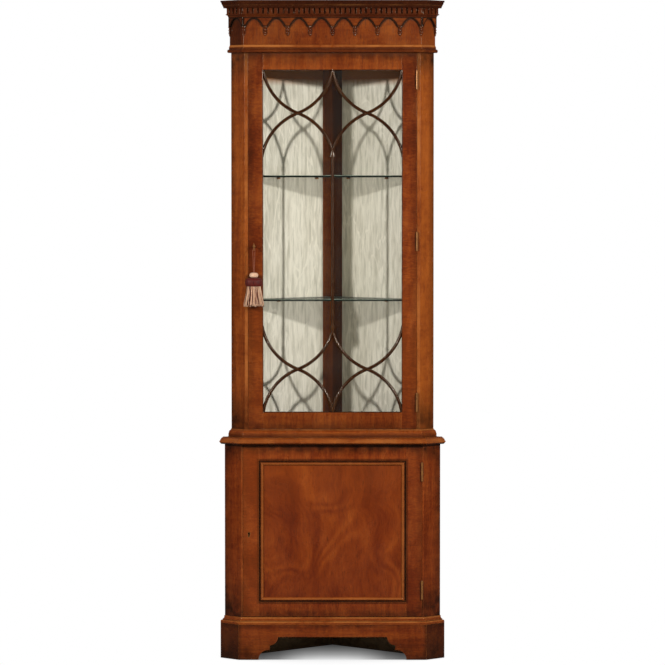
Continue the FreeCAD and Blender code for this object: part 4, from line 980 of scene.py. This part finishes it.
# Each thread is a small square drawn down step by step, and all are drawn together
def makeThreads(name, picked, material, *replaced):
    low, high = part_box("tassel_skirt")
    mesh = bmesh.new()
    number = mesh.verts.layers.int.new("number")
    ends = []
    for i, thread in enumerate(picked):
        square = bmesh.ops.create_circle(
            mesh, cap_ends=True, segments=4, radius=tassel["threadRadius"],
            matrix=Matrix.Translation(threadPlace(thread, 0, low, high)))["verts"]
        for point in square:
            point[number] = i
        ends.append(square[0].link_faces[0])
    for step in range(tassel["threadSteps"]):
        moves = [threadPlace(thread, step + 1, low, high) - threadPlace(thread, step, low, high)
                 for thread in picked]
        edges = [edge for face in ends for edge in face.edges]
        points = [point for face in ends for point in face.verts]
        grown = bmesh.ops.extrude_face_region(mesh, geom=ends + edges + points)["geom"]
        for point in onlyPoints(grown):
            point.co += moves[point[number]]
        ends = [part for part in grown if isinstance(part, bmesh.types.BMFace)]
    mesh.verts.layers.int.remove(number)
    finishPiece(name, mesh, material, "tassel", "tassel_thread", *replaced, sharp=80.0)


def makeTassel():
    cream = silkMaterial("creamSilk", "cream", 60.0)
    maroon = silkMaterial("maroonSilk", "maroon", 60.0)
    setFinish(tasselCord, silkMaterial("cordSilk", "cord", 400.0))
    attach(tasselCord, "tassel")
    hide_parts("tassel_cord")
    low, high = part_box("tassel_bead")
    half = (high.x - low.x) / 2
    levels = roundLevels(low.z, high.z, half, tassel["beadEnd"], tassel["beadEnd"])
    woundBody("tasselBead", levels, 1.0, tassel["beadRibs"], cream, "tassel_thread", "tassel_bead")
    low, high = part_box("tassel_head")
    half = (high.x - low.x) / 2
    levels = roundLevels(low.z, high.z, half, half * tassel["headFoot"], half * tassel["headTop"])
    woundBody("tasselHead", levels, tassel["depth"], tassel["headRibs"], maroon, "tassel_maroon",
              "tassel_head")
    random.seed(7)
    light = []
    dark = []
    for i in range(tassel["threads"]):
        ring = random.choice(tassel["rings"])
        thread = (random.uniform(0, 2 * math.pi), ring * random.uniform(0.95, 1.0),
                  random.uniform(0.84, 1.0), random.uniform(-0.16, 0.16))
        shade = light if random.random() > tassel["darkShare"] else dark
        shade.append(thread)
    makeThreads("creamThreads", light, cream, "tassel_skirt")
    makeThreads("maroonThreads", dark, maroon)


makeTassel()
print("tassel made")


# Studio: pale floor, white surround for the camera, two small lamps in front and one behind,
# and a weak sky. Greys are (place, tone) stops of what the camera sees of the floor
studio = {
    "floor": colour(190, 188, 184), "floorGloss": colour(90, 88, 86), "floorHalf": 14.0,
    "contactReach": 0.45, "contactGreys": ((0.20, 120), (0.46, 232), (0.66, 255)),
    "underFrom": 0.01, "underTo": 0.41,
    "underGreys": ((0.0, 222), (0.15, 189), (0.30, 155), (0.55, 111), (0.80, 72), (1.0, 46)),
    "sideGreys": ((0.04, 255), (0.08, 243), (0.11, 218), (0.135, 190), (0.16, 156), (0.205, 124)),
    "lamps": (("lampRight", 40.0, 122.0), ("lampLeft", -46.0, 94.0), ("lampBehind", 180.0, 70.0)),
    "lampDistance": 3.8, "lampHeight": 2.15, "lampSize": 0.16, "lampAim": (0.0, 0.0, 1.0),
    "sky": 0.15, "gloss": 0.08,
}


def startTree(tree):
    tree.nodes.clear()
    return addNode(tree, "LightPath").outputs


# Seen by the camera, the floor is white but for the shade round and under the cabinet
def floorShade(tree):
    near = occlusion(tree, studio["contactReach"], 16)
    around = greyRamp(tree, near, studio["contactGreys"])
    place = addNode(tree, "TexCoord").outputs["Object"]
    parts = addNode(tree, "SeparateXYZ", {"Vector": place}).outputs
    inward = parts["Y"]
    sideways = maths(tree, "ABSOLUTE", parts["X"])
    front = cadLow[1] + studio["underFrom"]
    under = mapRange(tree, inward, front, cadLow[1] + studio["underTo"])
    fading = mixColour(tree, 1.0, greyRamp(tree, under, studio["underGreys"]),
                       greyRamp(tree, sideways, studio["sideGreys"]), "MULTIPLY")
    beforeWalls = maths(tree, "LESS_THAN", maths(tree, "ADD", sideways, inward), cadHigh[1])
    inside = maths(tree, "GREATER_THAN", inward, front)
    inside = maths(tree, "MULTIPLY", inside, maths(tree, "LESS_THAN", sideways, baseFlat))
    inside = maths(tree, "MULTIPLY", inside, beforeWalls)
    return mixColour(tree, inside, around, fading)


def makeFloor():
    mesh = bmesh.new()
    bmesh.ops.create_grid(mesh, x_segments=1, y_segments=1, size=studio["floorHalf"])
    material = bpy.data.materials.new("floor")
    material.use_nodes = True
    tree = material.node_tree
    path = startTree(tree)
    tone = mixColour(tree, path["Is Glossy Ray"], studio["floor"], studio["floorGloss"])
    diffuse = addNode(tree, "BsdfDiffuse", {"Color": tone}).outputs[0]
    glow = addNode(tree, "Emission", {"Color": floorShade(tree)}).outputs[0]
    both = addNode(tree, "MixShader", {0: path["Is Camera Ray"], 1: diffuse, 2: glow}).outputs[0]
    addNode(tree, "OutputMaterial", {"Surface": both})
    addObject("floor", meshData("floor", mesh, material))


def makeSky():
    world = bpy.data.worlds.new("studio")
    bpy.context.scene.world = world
    world.use_nodes = True
    tree = world.node_tree
    path = startTree(tree)
    seen = maths(tree, "MAXIMUM", path["Is Camera Ray"], path["Is Transmission Ray"])
    soft = mapRange(tree, path["Is Glossy Ray"], 0.0, 1.0, studio["sky"], studio["gloss"])
    strength = maths(tree, "MAXIMUM", seen, soft)
    back = addNode(tree, "Background", {"Color": colour(255, 255, 255), "Strength": strength})
    addNode(tree, "OutputWorld", {"Surface": back.outputs[0]})


def makeLamp(name, degrees, watts):
    data = bpy.data.lights.new(name, "AREA")
    data.size = studio["lampSize"]
    data.energy = watts
    item = addObject(name, data)
    turn = math.radians(degrees)
    item.location = (math.sin(turn) * studio["lampDistance"],
                     -math.cos(turn) * studio["lampDistance"], studio["lampHeight"])
    aim = Vector(studio["lampAim"]) - item.location
    item.rotation_euler = aim.to_track_quat("-Z", "Y").to_euler()


makeFloor()
makeSky()
for lamp in studio["lamps"]:
    makeLamp(*lamp)
bpy.context.scene.view_settings.view_transform = "Standard"
print("studio made")
